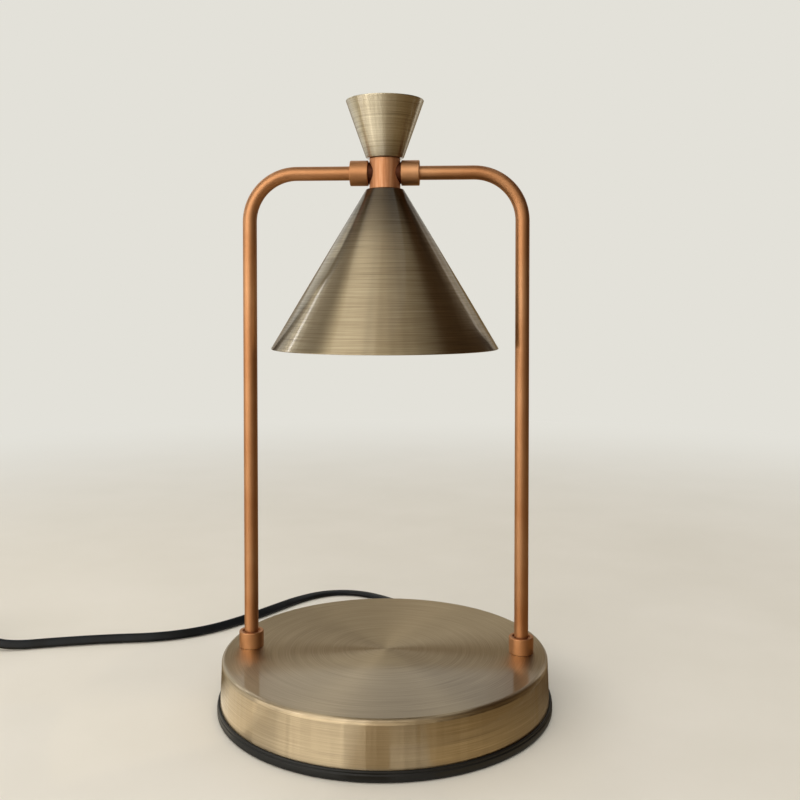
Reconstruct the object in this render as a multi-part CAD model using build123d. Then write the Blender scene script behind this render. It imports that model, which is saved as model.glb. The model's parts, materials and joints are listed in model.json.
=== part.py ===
"""A cone-shade table lamp on a two-legged tube frame, in millimetres.

The origin is on the floor under the middle of the base, +Z is up, the two arms lie along X,
the front is -Y, and the supply cord leaves at +Y.
"""

from build123d import *
import math
import os

# Shared fits
cut_overrun = 2.0
seat_gap = 0.03
running_gap = 0.05
thread_gap = 0.02

# Base
skirt_foot_radius = 82.0
skirt_draft = 1.0
base_height = 26.0
shell_wall = 1.0
shell_edge_radius = 1.8
ring_floor = 2.0
ring_height = 5.0
ring_lip = 1.3
ring_lip_gap = 0.1
ring_tread = 8.4
ring_round = 0.9
ballast_underside_share = 0.679
ballast_side_gap = 3.0
boss_radius = 4.5
boss_inset = 17.0
plate_thickness = 1.2
plate_side_gap = 0.7
plate_screw_radius = 1.5
plate_screw_head_radius = 2.9
plate_screw_length = 11.0

# Frame
leg_inset = 13.8
tube_radius = 3.5
tube_wall = 1.0
tube_bend_radius = 24.0
arm_height = 265.0
foot_collar_radius = 6.15
foot_collar_height = 8.0
foot_collar_recess_radius = 4.4
foot_collar_recess_depth = 1.0
collar_chamfer = 0.4
leg_nut_flats = 11.0
leg_nut_height = 3.5
leg_washer_radius = 6.5
leg_washer_thickness = 1.0
leg_end_proud = 1.0

# Pivot between arm and neck
neck_radius = 7.7
neck_below_axis = 8.0
neck_above_axis = 7.3
neck_chamfer = 0.3
saddle_thickness = 0.55
saddle_radius = 5.4
arm_collar_radius = 6.3
arm_collar_length = 9.0
arm_collar_web = 1.9
pivot_screw_radius = 2.5
pivot_screw_bore = 1.6
pivot_head_radius = 3.2
pivot_head_thickness = 1.4
spring_washer_thickness = 0.6
tube_end_gap = 0.5

# Head
stem_radius = 4.0
stem_bore = 2.8
stem_side_hole = 1.9
stem_proud = 1.0
stem_nut_flats = 12.0
stem_nut_height = 4.0
shade_top_radius = 8.9
shade_mouth_radius = 56.8
shade_height = 79.3
shade_wall = 0.9
shade_crown = 1.0
cone_bottom_radius = 8.9
cone_top_radius = 19.5
cone_height = 28.5
cone_wall = 0.9
cone_floor = 1.0
cap_thickness = 1.0
cap_depth = 0.8

# Lamp holder and bulb
bracket_thickness = 1.0
bracket_length = 17.5
bracket_width = 11.0
bracket_drop = 8.0
bracket_foot = 4.5
holder_radius = 12.5
holder_height = 13.0
holder_pin_hole = 2.6
holder_pin_depth = 8.0
holder_screw_spread = 12.0
holder_screw_radius = 1.3
holder_screw_head_radius = 2.3
holder_screw_head_height = 1.7
bulb_base_radius = 9.0
bulb_base_height = 13.0
bulb_length = 48.5
bulb_radius = 24.6
bulb_glass = 1.2
bulb_rim = 3.5
lens_thickness = 1.6
lens_dome = 1.1
capsule_radius = 4.0
capsule_height = 19.0
pin_spread = 10.0
pin_radius = 1.2
pin_length = 6.5
pin_head_radius = 2.3
pin_head_height = 2.0

# Wiring
lead_radius = 0.65
lead_spread = 1.6
lead_corner = 4.0
lead_stem_corner = 2.0
lead_floor_gap = 4.2
block_length = 24.0
block_width = 12.0
block_height = 11.0
block_back = 14.0
block_wire_spread = 8.0
block_wire_hole = 1.6
block_wire_depth = 3.0
clamp_length = 26.0
clamp_width = 8.0
clamp_floor = 2.4
clamp_inset = 21.0
clamp_screw_spread = 18.0
clamp_screw_radius = 1.5
clamp_screw_head_radius = 2.8
clamp_screw_head_height = 1.8
clamp_screw_roof = 1.0

# Cord and bushing
cord_diameter = 5.2
bushing_neck_radius = 4.4
bushing_root_radius = 5.8
bushing_tip_radius = 3.5
bushing_flange = 2.5
bushing_bore_gap = 0.05

# Cord dimmer
dimmer_length = 60.0
dimmer_width = 28.0
dimmer_height = 20.0
dimmer_wall = 1.8
dimmer_corner_radius = 6.0
dimmer_edge_radius = 1.5
dimmer_split_height = 8.0
wheel_radius = 10.0
wheel_width = 6.0
wheel_proud = 3.0
wheel_place = 42.0
wheel_ridges = 28
wheel_ridge_depth = 0.7
wheel_slot_gap = 0.6
wheel_axle_radius = 2.0
wheel_axle_length = 8.0
axle_post_thickness = 4.0
axle_post_width = 8.0
axle_post_cap = 1.4
pot_width = 10.0
pot_thickness = 4.0
board_thickness = 1.6
board_length = 24.0
board_gap = 0.5
board_lift = 1.6
capacitor_radius = 4.0
capacitor_height = 8.0
choke_length = 8.0
choke_width = 7.0
choke_height = 6.0
dimmer_screw_radius = 1.2
dimmer_screw_head_radius = 2.2
dimmer_screw_head_height = 1.2
dimmer_screw_inset = 8.0
dimmer_screw_recess = 0.2
dimmer_pillar_radius = 2.8
dimmer_entry_depth = 4.0

# Put-away cord: two layers of a spiral, a tie and a plug
coil_middle_radius = 31.0
coil_turns_per_layer = 3
coil_pitch = 5.9
coil_layer_step = 5.9
coil_inner_dip = 1.4
coil_lift = 1.0
coil_lead_in = 34.0
coil_lead_out = 14.0
tie_thickness = 0.8
tie_width = 7.0
tie_gap = 0.15
plug_length = 34.0
plug_width = 24.0
plug_back_radius = 5.0
plug_back_length = 14.0
plug_edge_radius = 2.5
blade_length = 17.0
blade_width = 6.3
blade_thickness = 1.5
blade_spread = 12.7

# The visible cord, point by point, from the bushing to the dimmer
cord_route = [
    (0, 106, 12), (0, 118, 12), (-1, 131, 8), (-5.5, 144, 3.8), (-15, 156.5, 2.6), (-28, 164.5, 2.6),
    (-42.5, 167, 2.6), (-57.5, 161.5, 2.6), (-71.5, 145.5, 2.6), (-84, 124.5, 2.6), (-99, 102, 2.6),
    (-116, 84, 2.6), (-139, 72, 2.6), (-169, 67.5, 2.6), (-198, 60, 2.6), (-220, 53, 2.6), (-234, 53, 5),
    (-246, 54, 8), (-256, 54, 8),
]
run_share = 0.45

# Places that follow from the sizes
leg_x = skirt_foot_radius - leg_inset
shell_top_inside = base_height - shell_wall
ballast_radius = skirt_foot_radius - skirt_draft - shell_wall - ballast_side_gap
boss_circle_radius = ballast_radius - boss_inset
plate_top = ring_floor + plate_thickness
ballast_bottom = plate_top + (shell_top_inside - plate_top) * ballast_underside_share
clamp_distance = ballast_radius - clamp_inset
clamp_screw_top = shell_top_inside - clamp_screw_roof
leg_nut_top = ballast_bottom - leg_washer_thickness
leg_end = leg_nut_top - leg_nut_height - leg_end_proud
collar_inner_x = neck_radius + saddle_thickness
collar_outer_x = collar_inner_x + arm_collar_length
web_outer_x = collar_inner_x + arm_collar_web
pivot_head_x = web_outer_x + running_gap + spring_washer_thickness
pivot_end_x = pivot_head_x + pivot_head_thickness
arm_end_x = pivot_end_x + tube_end_gap
neck_bottom = arm_height - neck_below_axis
neck_top = arm_height + neck_above_axis
shade_mouth = neck_bottom - shade_height
cone_top = neck_top + cone_height
shade_nut_top = neck_bottom - shade_crown
bracket_top = shade_nut_top - stem_nut_height
holder_nut_top = bracket_top - bracket_thickness
stem_bottom = holder_nut_top - stem_nut_height - stem_proud
cone_nut_bottom = neck_top + cone_floor
stem_top = cone_nut_bottom + stem_nut_height + stem_proud
holder_top = holder_nut_top - bracket_drop
holder_bottom = holder_top - holder_height
bulb_neck = holder_bottom - bulb_base_height
bulb_front = holder_bottom - bulb_length
lens_top = bulb_front + lens_thickness
lead_floor = plate_top + lead_floor_gap
block_bottom = ballast_bottom - block_height
cord_exit = Vector(*cord_route[0])
clamp_bottom = cord_exit.Z - cord_diameter / 2 - clamp_floor
dimmer_inlet = Vector(*cord_route[-1]) + Vector(dimmer_entry_depth, 0, 0)
dimmer_far_x = dimmer_inlet.X - dimmer_length
wheel_x = dimmer_inlet.X - wheel_place
wheel_z = dimmer_height + wheel_proud - wheel_radius


def turned(*outline):
    """A body of revolution about Z from its (radius, height) corners."""
    corners = [(radius, 0, height) for radius, height in outline]
    return revolve(make_face(Polyline(*corners, close=True)), Axis.Z)


def rod(radius, bottom, top, x=0, y=0):
    """An upright round bar at (x, y) between two heights."""
    return Pos(x, y, bottom) * extrude(Circle(radius), top - bottom)


def sideways_rod(radius, start, end):
    """A round bar on the pivot line, between two places along X."""
    return Pos(start, 0, arm_height) * Rot(0, 90, 0) * extrude(Circle(radius), end - start)


def hexagon_nut(flats, bore, bottom, top, x=0, y=0):
    """An upright hexagon nut."""
    blank = extrude(RegularPolygon(flats / 2, 6, major_radius=False), top - bottom)
    return Pos(x, y, bottom) * blank - rod(bore, bottom - cut_overrun, top + cut_overrun, x, y)


def block(low, high):
    """A rectangular block between two opposite corners."""
    size = Vector(*high) - Vector(*low)
    middle = (Vector(*high) + Vector(*low)) * 0.5
    return Pos(*middle) * Box(size.X, size.Y, size.Z)


def tube_along(path, radius):
    """A round bar swept along a path."""
    return sweep(Plane(origin=path @ 0, z_dir=path % 0) * Circle(radius), path=path)


def mirrored(solid):
    """The same piece on the other side of the lamp."""
    return mirror(solid, about=Plane.YZ)


def group(solids):
    """Separate solids kept in one node."""
    return Compound(children=[solid for piece in solids for solid in piece.solids()])


def skirt_radius(height):
    """The outside radius of the base's skirt at a height."""
    share = (height - ring_floor) / (base_height - ring_floor)
    return skirt_foot_radius - skirt_draft * share


# Base pieces
def make_rubber_foot_ring():
    inside = skirt_foot_radius + ring_lip_gap
    outside = inside + ring_lip
    ring = turned(
        (outside - ring_tread, 0),
        (outside, 0),
        (outside, ring_height),
        (inside, ring_height),
        (inside, ring_floor),
        (outside - ring_tread, ring_floor),
    )
    rims = [edge for edge in ring.edges().filter_by(GeomType.CIRCLE) if edge.radius > inside + ring_lip / 2]
    return fillet(rims, min(ring_round, ring_lip * 0.7))


def make_base_shell():
    top_radius = skirt_foot_radius - skirt_draft
    shell = turned(
        (0, base_height),
        (top_radius, base_height),
        (skirt_foot_radius, ring_floor),
        (skirt_foot_radius - shell_wall, ring_floor),
        (top_radius - shell_wall, shell_top_inside),
        (0, shell_top_inside),
    )
    edges = shell.edges().filter_by(GeomType.CIRCLE)
    outer_edge = [edge for edge in edges if edge.center().Z > shell_top_inside + shell_wall / 2]
    shell = fillet(outer_edge, shell_edge_radius)
    for x in (-leg_x, leg_x):
        shell -= rod(tube_radius + seat_gap, shell_top_inside - cut_overrun, base_height + cut_overrun, x)
    wall_depth = skirt_draft + shell_wall + cut_overrun
    return shell - along_y(bushing_neck_radius, skirt_foot_radius - wall_depth, skirt_foot_radius + cut_overrun)


def boss_places():
    """Where the plate's screws stand, in a square."""
    reach = boss_circle_radius * math.sqrt(0.5)
    return [(x, y) for x in (-reach, reach) for y in (-reach, reach)]


def make_ballast_weight():
    weight = rod(ballast_radius, ballast_bottom, shell_top_inside)
    for x, y in boss_places():
        weight += rod(boss_radius, plate_top, ballast_bottom, x, y)
        weight -= rod(plate_screw_radius + thread_gap, plate_top - cut_overrun, plate_top + plate_screw_length, x, y)
    for x in (-leg_x, leg_x):
        weight -= rod(tube_radius + seat_gap, ballast_bottom - cut_overrun, base_height, x)
    for x in (-clamp_screw_spread / 2, clamp_screw_spread / 2):
        weight -= rod(clamp_screw_radius + thread_gap, ballast_bottom - cut_overrun, clamp_screw_top, x, clamp_distance)
    return weight


def make_base_plate():
    plate = rod(skirt_foot_radius - shell_wall - plate_side_gap, ring_floor, plate_top)
    for x, y in boss_places():
        plate -= countersunk_screw(x, y)
    return plate


def countersunk_screw(x, y):
    """One plate screw, its head flush with the plate's underside."""
    head = turned((0, ring_floor), (plate_screw_head_radius, ring_floor), (plate_screw_radius, plate_top), (0, plate_top))
    return Pos(x, y, 0) * head + rod(plate_screw_radius, ring_floor, ring_floor + plate_screw_length, x, y)


def make_plate_screws():
    return group(countersunk_screw(x, y) for x, y in boss_places())


def make_leg_washers():
    washer = rod(leg_washer_radius, leg_nut_top, ballast_bottom, leg_x)
    washer -= rod(tube_radius + seat_gap, leg_nut_top - cut_overrun, ballast_bottom + cut_overrun, leg_x)
    return group([washer, mirrored(washer)])


def make_leg_nuts():
    nut = hexagon_nut(leg_nut_flats, tube_radius + thread_gap, leg_nut_top - leg_nut_height, leg_nut_top, leg_x)
    return group([nut, mirrored(nut)])


# Frame pieces
def make_frame_tube_right():
    path = FilletPolyline(
        (leg_x, 0, leg_end), (leg_x, 0, arm_height), (arm_end_x, 0, arm_height), radius=tube_bend_radius)
    return tube_along(path, tube_radius) - tube_along(path, tube_radius - tube_wall)


def make_foot_collar_right():
    top = base_height + foot_collar_height
    collar = rod(foot_collar_radius, base_height, top, leg_x)
    collar = chamfer(collar.edges().group_by(Axis.Z)[-1], collar_chamfer)
    collar -= rod(tube_radius + seat_gap, base_height - cut_overrun, top + cut_overrun, leg_x)
    return collar - rod(foot_collar_recess_radius, top - foot_collar_recess_depth, top + cut_overrun, leg_x)


def make_arm_collar_right():
    collar = sideways_rod(arm_collar_radius, collar_inner_x, collar_outer_x)
    collar = chamfer(collar.edges().filter_by(GeomType.CIRCLE), collar_chamfer)
    collar -= sideways_rod(tube_radius + seat_gap, web_outer_x, collar_outer_x + cut_overrun)
    return collar - sideways_rod(pivot_screw_radius + running_gap, collar_inner_x - cut_overrun, web_outer_x)


# Pivot pieces
def make_pivot_spacer_right():
    saddle = sideways_rod(saddle_radius, 0, collar_inner_x - running_gap)
    saddle -= rod(neck_radius + seat_gap, neck_bottom, neck_top)
    return saddle - sideways_rod(pivot_screw_radius + running_gap, 0, collar_inner_x + cut_overrun)


def make_pivot_screw_right():
    screw = sideways_rod(pivot_screw_radius, stem_radius + tube_end_gap, pivot_head_x)
    screw += sideways_rod(pivot_head_radius, pivot_head_x, pivot_end_x)
    return screw - sideways_rod(pivot_screw_bore, 0, pivot_end_x + cut_overrun)


def make_pivot_spring_washers():
    washer = sideways_rod(pivot_head_radius, web_outer_x + running_gap, pivot_head_x)
    washer -= sideways_rod(pivot_screw_radius + running_gap, 0, pivot_end_x)
    return group([washer, mirrored(washer)])


# Head pieces
def make_neck_block():
    neck = rod(neck_radius, neck_bottom, neck_top)
    neck = chamfer(neck.edges().filter_by(GeomType.CIRCLE), neck_chamfer)
    neck -= rod(stem_radius + seat_gap, neck_bottom - cut_overrun, neck_top + cut_overrun)
    return neck - sideways_rod(pivot_screw_radius + thread_gap, -collar_inner_x, collar_inner_x)


def make_stem_tube():
    stem = rod(stem_radius, stem_bottom, stem_top)
    stem -= rod(stem_bore, stem_bottom - cut_overrun, stem_top + cut_overrun)
    return stem - sideways_rod(stem_side_hole, -collar_inner_x, 0)


def stem_nut(bottom):
    """A nut on the stem, standing on a height."""
    return hexagon_nut(stem_nut_flats, stem_radius + thread_gap, bottom, bottom + stem_nut_height)


def make_shade():
    slant = math.hypot(shade_height, shade_mouth_radius - shade_top_radius)
    wall_across = shade_wall * slant / shade_height
    spread = (shade_mouth_radius - shade_top_radius) / shade_height
    shade = turned(
        (stem_radius + seat_gap, neck_bottom),
        (shade_top_radius, neck_bottom),
        (shade_mouth_radius, shade_mouth),
        (shade_mouth_radius - wall_across, shade_mouth),
        (shade_top_radius - wall_across + spread * shade_crown, shade_nut_top),
        (stem_radius + seat_gap, shade_nut_top),
    )
    corner = [edge for edge in shade.edges().filter_by(GeomType.CIRCLE)
              if edge.center().Z > shade_nut_top + shade_crown / 2 and edge.radius > stem_radius * 1.5]
    return fillet(corner, shade_wall / 2)


def cone_wall_across():
    """How much of a radius the top cone's wall takes up."""
    return cone_wall * math.hypot(cone_height, cone_top_radius - cone_bottom_radius) / cone_height


def cone_radius(height):
    """The top cone's outside radius at a height."""
    return cone_bottom_radius + (cone_top_radius - cone_bottom_radius) * (height - neck_top) / cone_height


def make_top_cone():
    across = cone_wall_across()
    return turned(
        (stem_radius + seat_gap, neck_top),
        (cone_bottom_radius, neck_top),
        (cone_top_radius, cone_top),
        (cone_top_radius - across, cone_top),
        (cone_radius(cone_nut_bottom) - across, cone_nut_bottom),
        (stem_radius + seat_gap, cone_nut_bottom),
    )


def make_top_cap():
    top = cone_top - cap_depth
    bottom = top - cap_thickness
    inset = cone_wall_across() + seat_gap
    return turned((0, top), (cone_radius(top) - inset, top), (cone_radius(bottom) - inset, bottom), (0, bottom))


# Lamp holder and bulb pieces
def make_holder_bracket():
    reach, half = bracket_length / 2, bracket_width / 2
    bracket = block((-reach, -half, holder_nut_top), (reach, half, bracket_top))
    for side in (-1, 1):
        inner = reach - bracket_thickness
        bracket += block((min(side * inner, side * reach), -half, holder_top),
                         (max(side * inner, side * reach), half, bracket_top))
        toe = reach - bracket_foot
        bracket += block((min(side * toe, side * reach), -half, holder_top),
                         (max(side * toe, side * reach), half, holder_top + bracket_thickness))
        bracket -= rod(holder_screw_radius + thread_gap, holder_top - cut_overrun,
                       holder_top + bracket_thickness + cut_overrun, side * holder_screw_spread / 2)
    return bracket - rod(stem_radius + seat_gap, holder_nut_top - cut_overrun, bracket_top + cut_overrun)


def make_lamp_holder():
    holder = rod(holder_radius, holder_bottom, holder_top)
    holder = fillet(holder.edges().filter_by(GeomType.CIRCLE), holder_radius / 16)
    for side in (-1, 1):
        x, y = side * holder_screw_spread / 2, side * pin_spread / 2
        holder -= rod(holder_pin_hole, holder_bottom - cut_overrun, holder_bottom + holder_pin_depth, 0, y)
        holder -= rod(holder_screw_radius + seat_gap, holder_bottom - cut_overrun, holder_top + cut_overrun, x)
        holder -= rod(holder_screw_head_radius + seat_gap, holder_bottom - cut_overrun,
                      holder_bottom + holder_screw_head_height, x)
    return holder


def make_holder_screws():
    x = holder_screw_spread / 2
    screw = rod(holder_screw_head_radius, holder_bottom + seat_gap, holder_bottom + holder_screw_head_height, x)
    screw += rod(holder_screw_radius, holder_bottom + seat_gap, holder_top + bracket_thickness, x)
    return group([screw, mirrored(screw)])


def make_bulb_base():
    base = rod(bulb_base_radius, bulb_neck, holder_bottom)
    return fillet(base.edges().group_by(Axis.Z)[-1], bulb_base_radius / 12)


def make_bulb_pins():
    y = pin_spread / 2
    head_bottom = holder_bottom + pin_length - pin_head_height
    pins = [rod(pin_radius, holder_bottom, head_bottom, 0, side * y)
            + rod(pin_head_radius, head_bottom, holder_bottom + pin_length, 0, side * y) for side in (-1, 1)]
    return group(pins)


def make_bulb_capsule():
    capsule = rod(capsule_radius, bulb_neck - capsule_height, bulb_neck)
    return fillet(capsule.edges().group_by(Axis.Z)[0], capsule_radius * 0.9)


def bulb_outline(inset):
    """The reflector's side, from its neck down to its rim, inset by a wall."""
    neck, rim = bulb_base_radius - inset, bulb_radius - inset
    rim_top = lens_top + bulb_rim
    middle = ((neck + rim) / 2 + (rim - neck) * 0.12, 0, (bulb_neck + rim_top) / 2)
    side = ThreePointArc((neck, 0, bulb_neck), middle, (rim, 0, rim_top))
    return side + Line((rim, 0, rim_top), (rim, 0, lens_top))


def make_bulb_reflector():
    outside, inside = bulb_outline(0), bulb_outline(bulb_glass)
    ends = [
        Line((bulb_radius, 0, lens_top), (bulb_radius - bulb_glass, 0, lens_top)),
        Line((bulb_base_radius - bulb_glass, 0, bulb_neck), (bulb_base_radius, 0, bulb_neck)),
    ]
    return revolve(make_face(outside.edges() + inside.edges() + ends), Axis.Z)


def make_bulb_lens():
    dome = ThreePointArc((-bulb_radius, 0, bulb_front), (0, 0, bulb_front - lens_dome), (bulb_radius, 0, bulb_front))
    face = make_face([
        dome.trim(0.5, 1),
        Line((bulb_radius, 0, bulb_front), (bulb_radius, 0, lens_top)),
        Line((bulb_radius, 0, lens_top), (0, 0, lens_top)),
        Line((0, 0, lens_top), (0, 0, bulb_front - lens_dome)),
    ])
    return revolve(face, Axis.Z)


# Wiring pieces
def make_terminal_block():
    block_front = block_back + block_width
    body = block((-block_length / 2, block_back, block_bottom), (block_length / 2, block_front, ballast_bottom))
    body = fillet(body.edges().filter_by(Axis.Z), block_width / 12)
    for side in (-1, 1):
        x = side * block_wire_spread / 2
        hole = Pos(x, block_back, lead_floor) * Rot(90, 0, 0)
        body -= hole * Cylinder(block_wire_hole, block_wire_depth * 2)
    return body


def make_lead_pair_frame():
    leads = []
    for side in (-1, 1):
        y = -side * lead_spread / 2
        path = FilletPolyline(
            (side * block_wire_spread / 2, block_back + block_wire_depth, lead_floor),
            (side * block_wire_spread / 2, y, lead_floor),
            (-leg_x, y, lead_floor),
            (-leg_x, y, arm_height),
            (-pivot_end_x - tube_end_gap, y, arm_height),
            radius=[lead_corner, lead_corner, tube_bend_radius],
        )
        leads.append(tube_along(path, lead_radius))
    return group(leads)


def make_lead_pair_head():
    leads = []
    for y in (-lead_spread / 2, lead_spread / 2):
        path = FilletPolyline(
            (-pivot_end_x, y, arm_height), (0, y, arm_height), (0, y, holder_top), radius=lead_stem_corner)
        leads.append(tube_along(path, lead_radius))
    return group(leads)


def along_y(radius, start, end):
    """A round bar on the line of the cord's exit, between two places along Y."""
    return Pos(0, start, cord_exit.Z) * Rot(-90, 0, 0) * extrude(Circle(radius), end - start)


def make_cord_inner_tail():
    return along_y(cord_diameter / 2, block_back + block_width, cord_exit.Y)


def make_cord_clamp():
    half = clamp_width / 2
    clamp = block((-clamp_length / 2, clamp_distance - half, clamp_bottom),
                  (clamp_length / 2, clamp_distance + half, ballast_bottom))
    clamp = fillet(clamp.edges().filter_by(Axis.Z), clamp_width / 6)
    clamp -= along_y(cord_diameter / 2 + bushing_bore_gap, clamp_distance - clamp_width, clamp_distance + clamp_width)
    for x in (-clamp_screw_spread / 2, clamp_screw_spread / 2):
        clamp -= rod(clamp_screw_radius + seat_gap, clamp_bottom - cut_overrun, base_height, x, clamp_distance)
    return clamp


def make_cord_clamp_screws():
    x = clamp_screw_spread / 2
    screw = rod(clamp_screw_radius, clamp_bottom, clamp_screw_top, x, clamp_distance)
    screw += rod(clamp_screw_head_radius, clamp_bottom - clamp_screw_head_height, clamp_bottom, x, clamp_distance)
    return group([screw, mirrored(screw)])


def make_cord_bushing(shell):
    inside = skirt_foot_radius - skirt_draft - shell_wall - bushing_flange
    bushing = turned(
        (0, inside),
        (bushing_root_radius, inside),
        (bushing_root_radius, skirt_foot_radius + bushing_flange),
        (bushing_tip_radius, cord_exit.Y),
        (0, cord_exit.Y),
    )
    bushing = Pos(0, 0, cord_exit.Z) * Rot(-90, 0, 0) * bushing
    bushing -= along_y(cord_diameter / 2 + bushing_bore_gap, inside - cut_overrun, cord_exit.Y + cut_overrun)
    return bushing - shell


def make_supply_cord():
    points = [Vector(*point) for point in cord_route]
    radii = []
    for before, corner, after in zip(points, points[1:], points[2:]):
        arrive, leave = corner - before, after - corner
        half_turn = math.radians(arrive.get_angle(leave)) / 2
        radii.append(run_share * min(arrive.length, leave.length) / math.tan(half_turn))
    path = FilletPolyline(*points, radius=radii)
    cord = tube_along(path, cord_diameter / 2)
    print("cord radii", [round(radius, 1) for radius in radii], "length", round(path.length, 1),
          "volume against section times length", round(cord.volume / (math.pi * cord_diameter**2 / 4 * path.length), 5))
    return cord


# Dimmer pieces on the cord
def dimmer_body(inset):
    """The dimmer's whole outer form, or its inside when inset by the wall."""
    low = Vector(dimmer_far_x + inset, dimmer_inlet.Y - dimmer_width / 2 + inset, inset)
    high = Vector(dimmer_inlet.X - inset, dimmer_inlet.Y + dimmer_width / 2 - inset, dimmer_height - inset)
    body = block(low, high)
    body = fillet(body.edges().filter_by(Axis.Z), dimmer_corner_radius - inset)
    return fillet(body.faces().sort_by(Axis.Z)[-1].edges(), dimmer_edge_radius)


def across_y(radius, start, end, x, z):
    """A round bar across the dimmer, between two distances from its middle line."""
    return Pos(x, dimmer_inlet.Y + start, z) * Rot(-90, 0, 0) * extrude(Circle(radius), end - start)


def dimmer_half(bottom, top):
    """The hollow case between two heights, with its cord entries cut."""
    slab = block((dimmer_far_x - cut_overrun, dimmer_inlet.Y - dimmer_width, bottom),
                 (dimmer_inlet.X + cut_overrun, dimmer_inlet.Y + dimmer_width, top))
    half = (dimmer_body(0) - dimmer_body(dimmer_wall)) & slab
    entry = Pos(dimmer_far_x - cut_overrun, dimmer_inlet.Y, dimmer_inlet.Z) * Rot(0, 90, 0)
    return half - entry * extrude(Circle(cord_diameter / 2 + bushing_bore_gap), dimmer_length + cut_overrun * 2)


def dimmer_screw_places():
    """Where the case screws stand, one near each end, clear of the cord."""
    y = dimmer_inlet.Y - dimmer_width / 2 + dimmer_corner_radius
    return [(dimmer_inlet.X - dimmer_screw_inset, y), (dimmer_far_x + dimmer_screw_inset, y)]


def make_dimmer_case_lower():
    case = dimmer_half(0, dimmer_split_height)
    for x, y in dimmer_screw_places():
        case += rod(dimmer_pillar_radius, dimmer_wall, dimmer_split_height, x, y)
        case -= rod(dimmer_screw_radius + seat_gap, -cut_overrun, dimmer_split_height + cut_overrun, x, y)
        case -= rod(dimmer_screw_head_radius + seat_gap, -cut_overrun, dimmer_screw_head_height, x, y)
    end = dimmer_width / 2 - dimmer_wall - seat_gap
    start = end - axle_post_thickness
    post = block((wheel_x - axle_post_width / 2, dimmer_inlet.Y + start, dimmer_wall),
                 (wheel_x + axle_post_width / 2, dimmer_inlet.Y + end, wheel_z + wheel_axle_radius + axle_post_cap))
    return case + post - across_y(wheel_axle_radius + running_gap, start - cut_overrun, end, wheel_x, wheel_z)


def make_dimmer_case_upper():
    case = dimmer_half(dimmer_split_height, dimmer_height)
    for x, y in dimmer_screw_places():
        case += rod(dimmer_pillar_radius, dimmer_split_height, dimmer_height - dimmer_wall, x, y)
        case -= rod(dimmer_screw_radius + thread_gap, -cut_overrun, dimmer_height - dimmer_wall, x, y)
    chord = math.sqrt(wheel_radius**2 - (wheel_radius - wheel_proud - dimmer_wall)**2)
    half = wheel_width / 2 + wheel_slot_gap
    slot = block((wheel_x - chord - wheel_slot_gap, dimmer_inlet.Y - half, dimmer_height - dimmer_wall - cut_overrun),
                 (wheel_x + chord + wheel_slot_gap, dimmer_inlet.Y + half, dimmer_height + cut_overrun))
    return case - slot


def make_dimmer_wheel():
    outline = []
    for step in range(2 * wheel_ridges):
        angle = math.pi * step / wheel_ridges
        radius = wheel_radius - wheel_ridge_depth * (step % 2)
        outline.append((radius * math.cos(angle), radius * math.sin(angle)))
    half = wheel_width / 2
    rim = extrude(Polygon(*outline, align=None), wheel_width)
    reach = half + wheel_axle_length
    axle = across_y(wheel_axle_radius, -reach, reach, wheel_x, wheel_z)
    return Pos(wheel_x, dimmer_inlet.Y + half, wheel_z) * Rot(90, 0, 0) * rim + axle


def make_dimmer_potentiometer():
    start = -wheel_width / 2 - wheel_slot_gap - pot_thickness
    half = pot_width / 2
    body = block((wheel_x - half, dimmer_inlet.Y + start, dimmer_wall),
                 (wheel_x + half, dimmer_inlet.Y + start + pot_thickness, wheel_z + half))
    return body - across_y(wheel_axle_radius + running_gap, start - cut_overrun, 0, wheel_x, wheel_z)


def board_top():
    """The height of the circuit board's upper face."""
    return dimmer_wall + board_lift + board_thickness


def make_dimmer_board():
    half = dimmer_width / 2 - dimmer_wall - board_gap
    near = dimmer_inlet.X - dimmer_entry_depth - board_gap
    board = block((near - board_length, dimmer_inlet.Y - half, board_top() - board_thickness),
                  (near, dimmer_inlet.Y + half, board_top()))
    foot = block((near - board_length, dimmer_inlet.Y + half / 2, dimmer_wall),
                 (near, dimmer_inlet.Y + half / 2 + board_thickness, board_top() - board_thickness))
    board += foot
    for x, y in dimmer_screw_places():
        board -= rod(dimmer_pillar_radius + board_gap, 0, dimmer_height, x, y)
    return board


def make_dimmer_components():
    middle = dimmer_inlet.X - dimmer_entry_depth - board_gap - board_length / 2
    capacitor = rod(capacitor_radius, board_top(), board_top() + capacitor_height, middle - choke_length / 2,
                    dimmer_inlet.Y + capacitor_radius)
    capacitor = fillet(capacitor.edges().group_by(Axis.Z)[-1], capacitor_radius / 6)
    x = middle - choke_length / 2
    y = dimmer_inlet.Y - choke_width - board_gap
    choke = block((x - choke_length / 2, y, board_top()),
                  (x + choke_length / 2, y + choke_width, board_top() + choke_height))
    return group([capacitor, choke])


def make_dimmer_case_screws():
    screws = []
    for x, y in dimmer_screw_places():
        screw = rod(dimmer_screw_radius, dimmer_screw_recess, dimmer_height - dimmer_wall * 2, x, y)
        screws.append(screw + rod(dimmer_screw_head_radius, dimmer_screw_recess, dimmer_screw_head_height, x, y))
    return group(screws)


# Put-away cord pieces
coil_start_x = dimmer_far_x - coil_lead_in
coil_outer_radius = coil_middle_radius + coil_pitch * coil_turns_per_layer / 2
coil_inner_radius = coil_middle_radius - coil_pitch * coil_turns_per_layer / 2
coil_centre_y = dimmer_inlet.Y - coil_outer_radius
coil_low = coil_lift + cord_diameter / 2
coil_high = coil_low + coil_layer_step
spiral_turn = 2 * math.pi * coil_turns_per_layer


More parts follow.
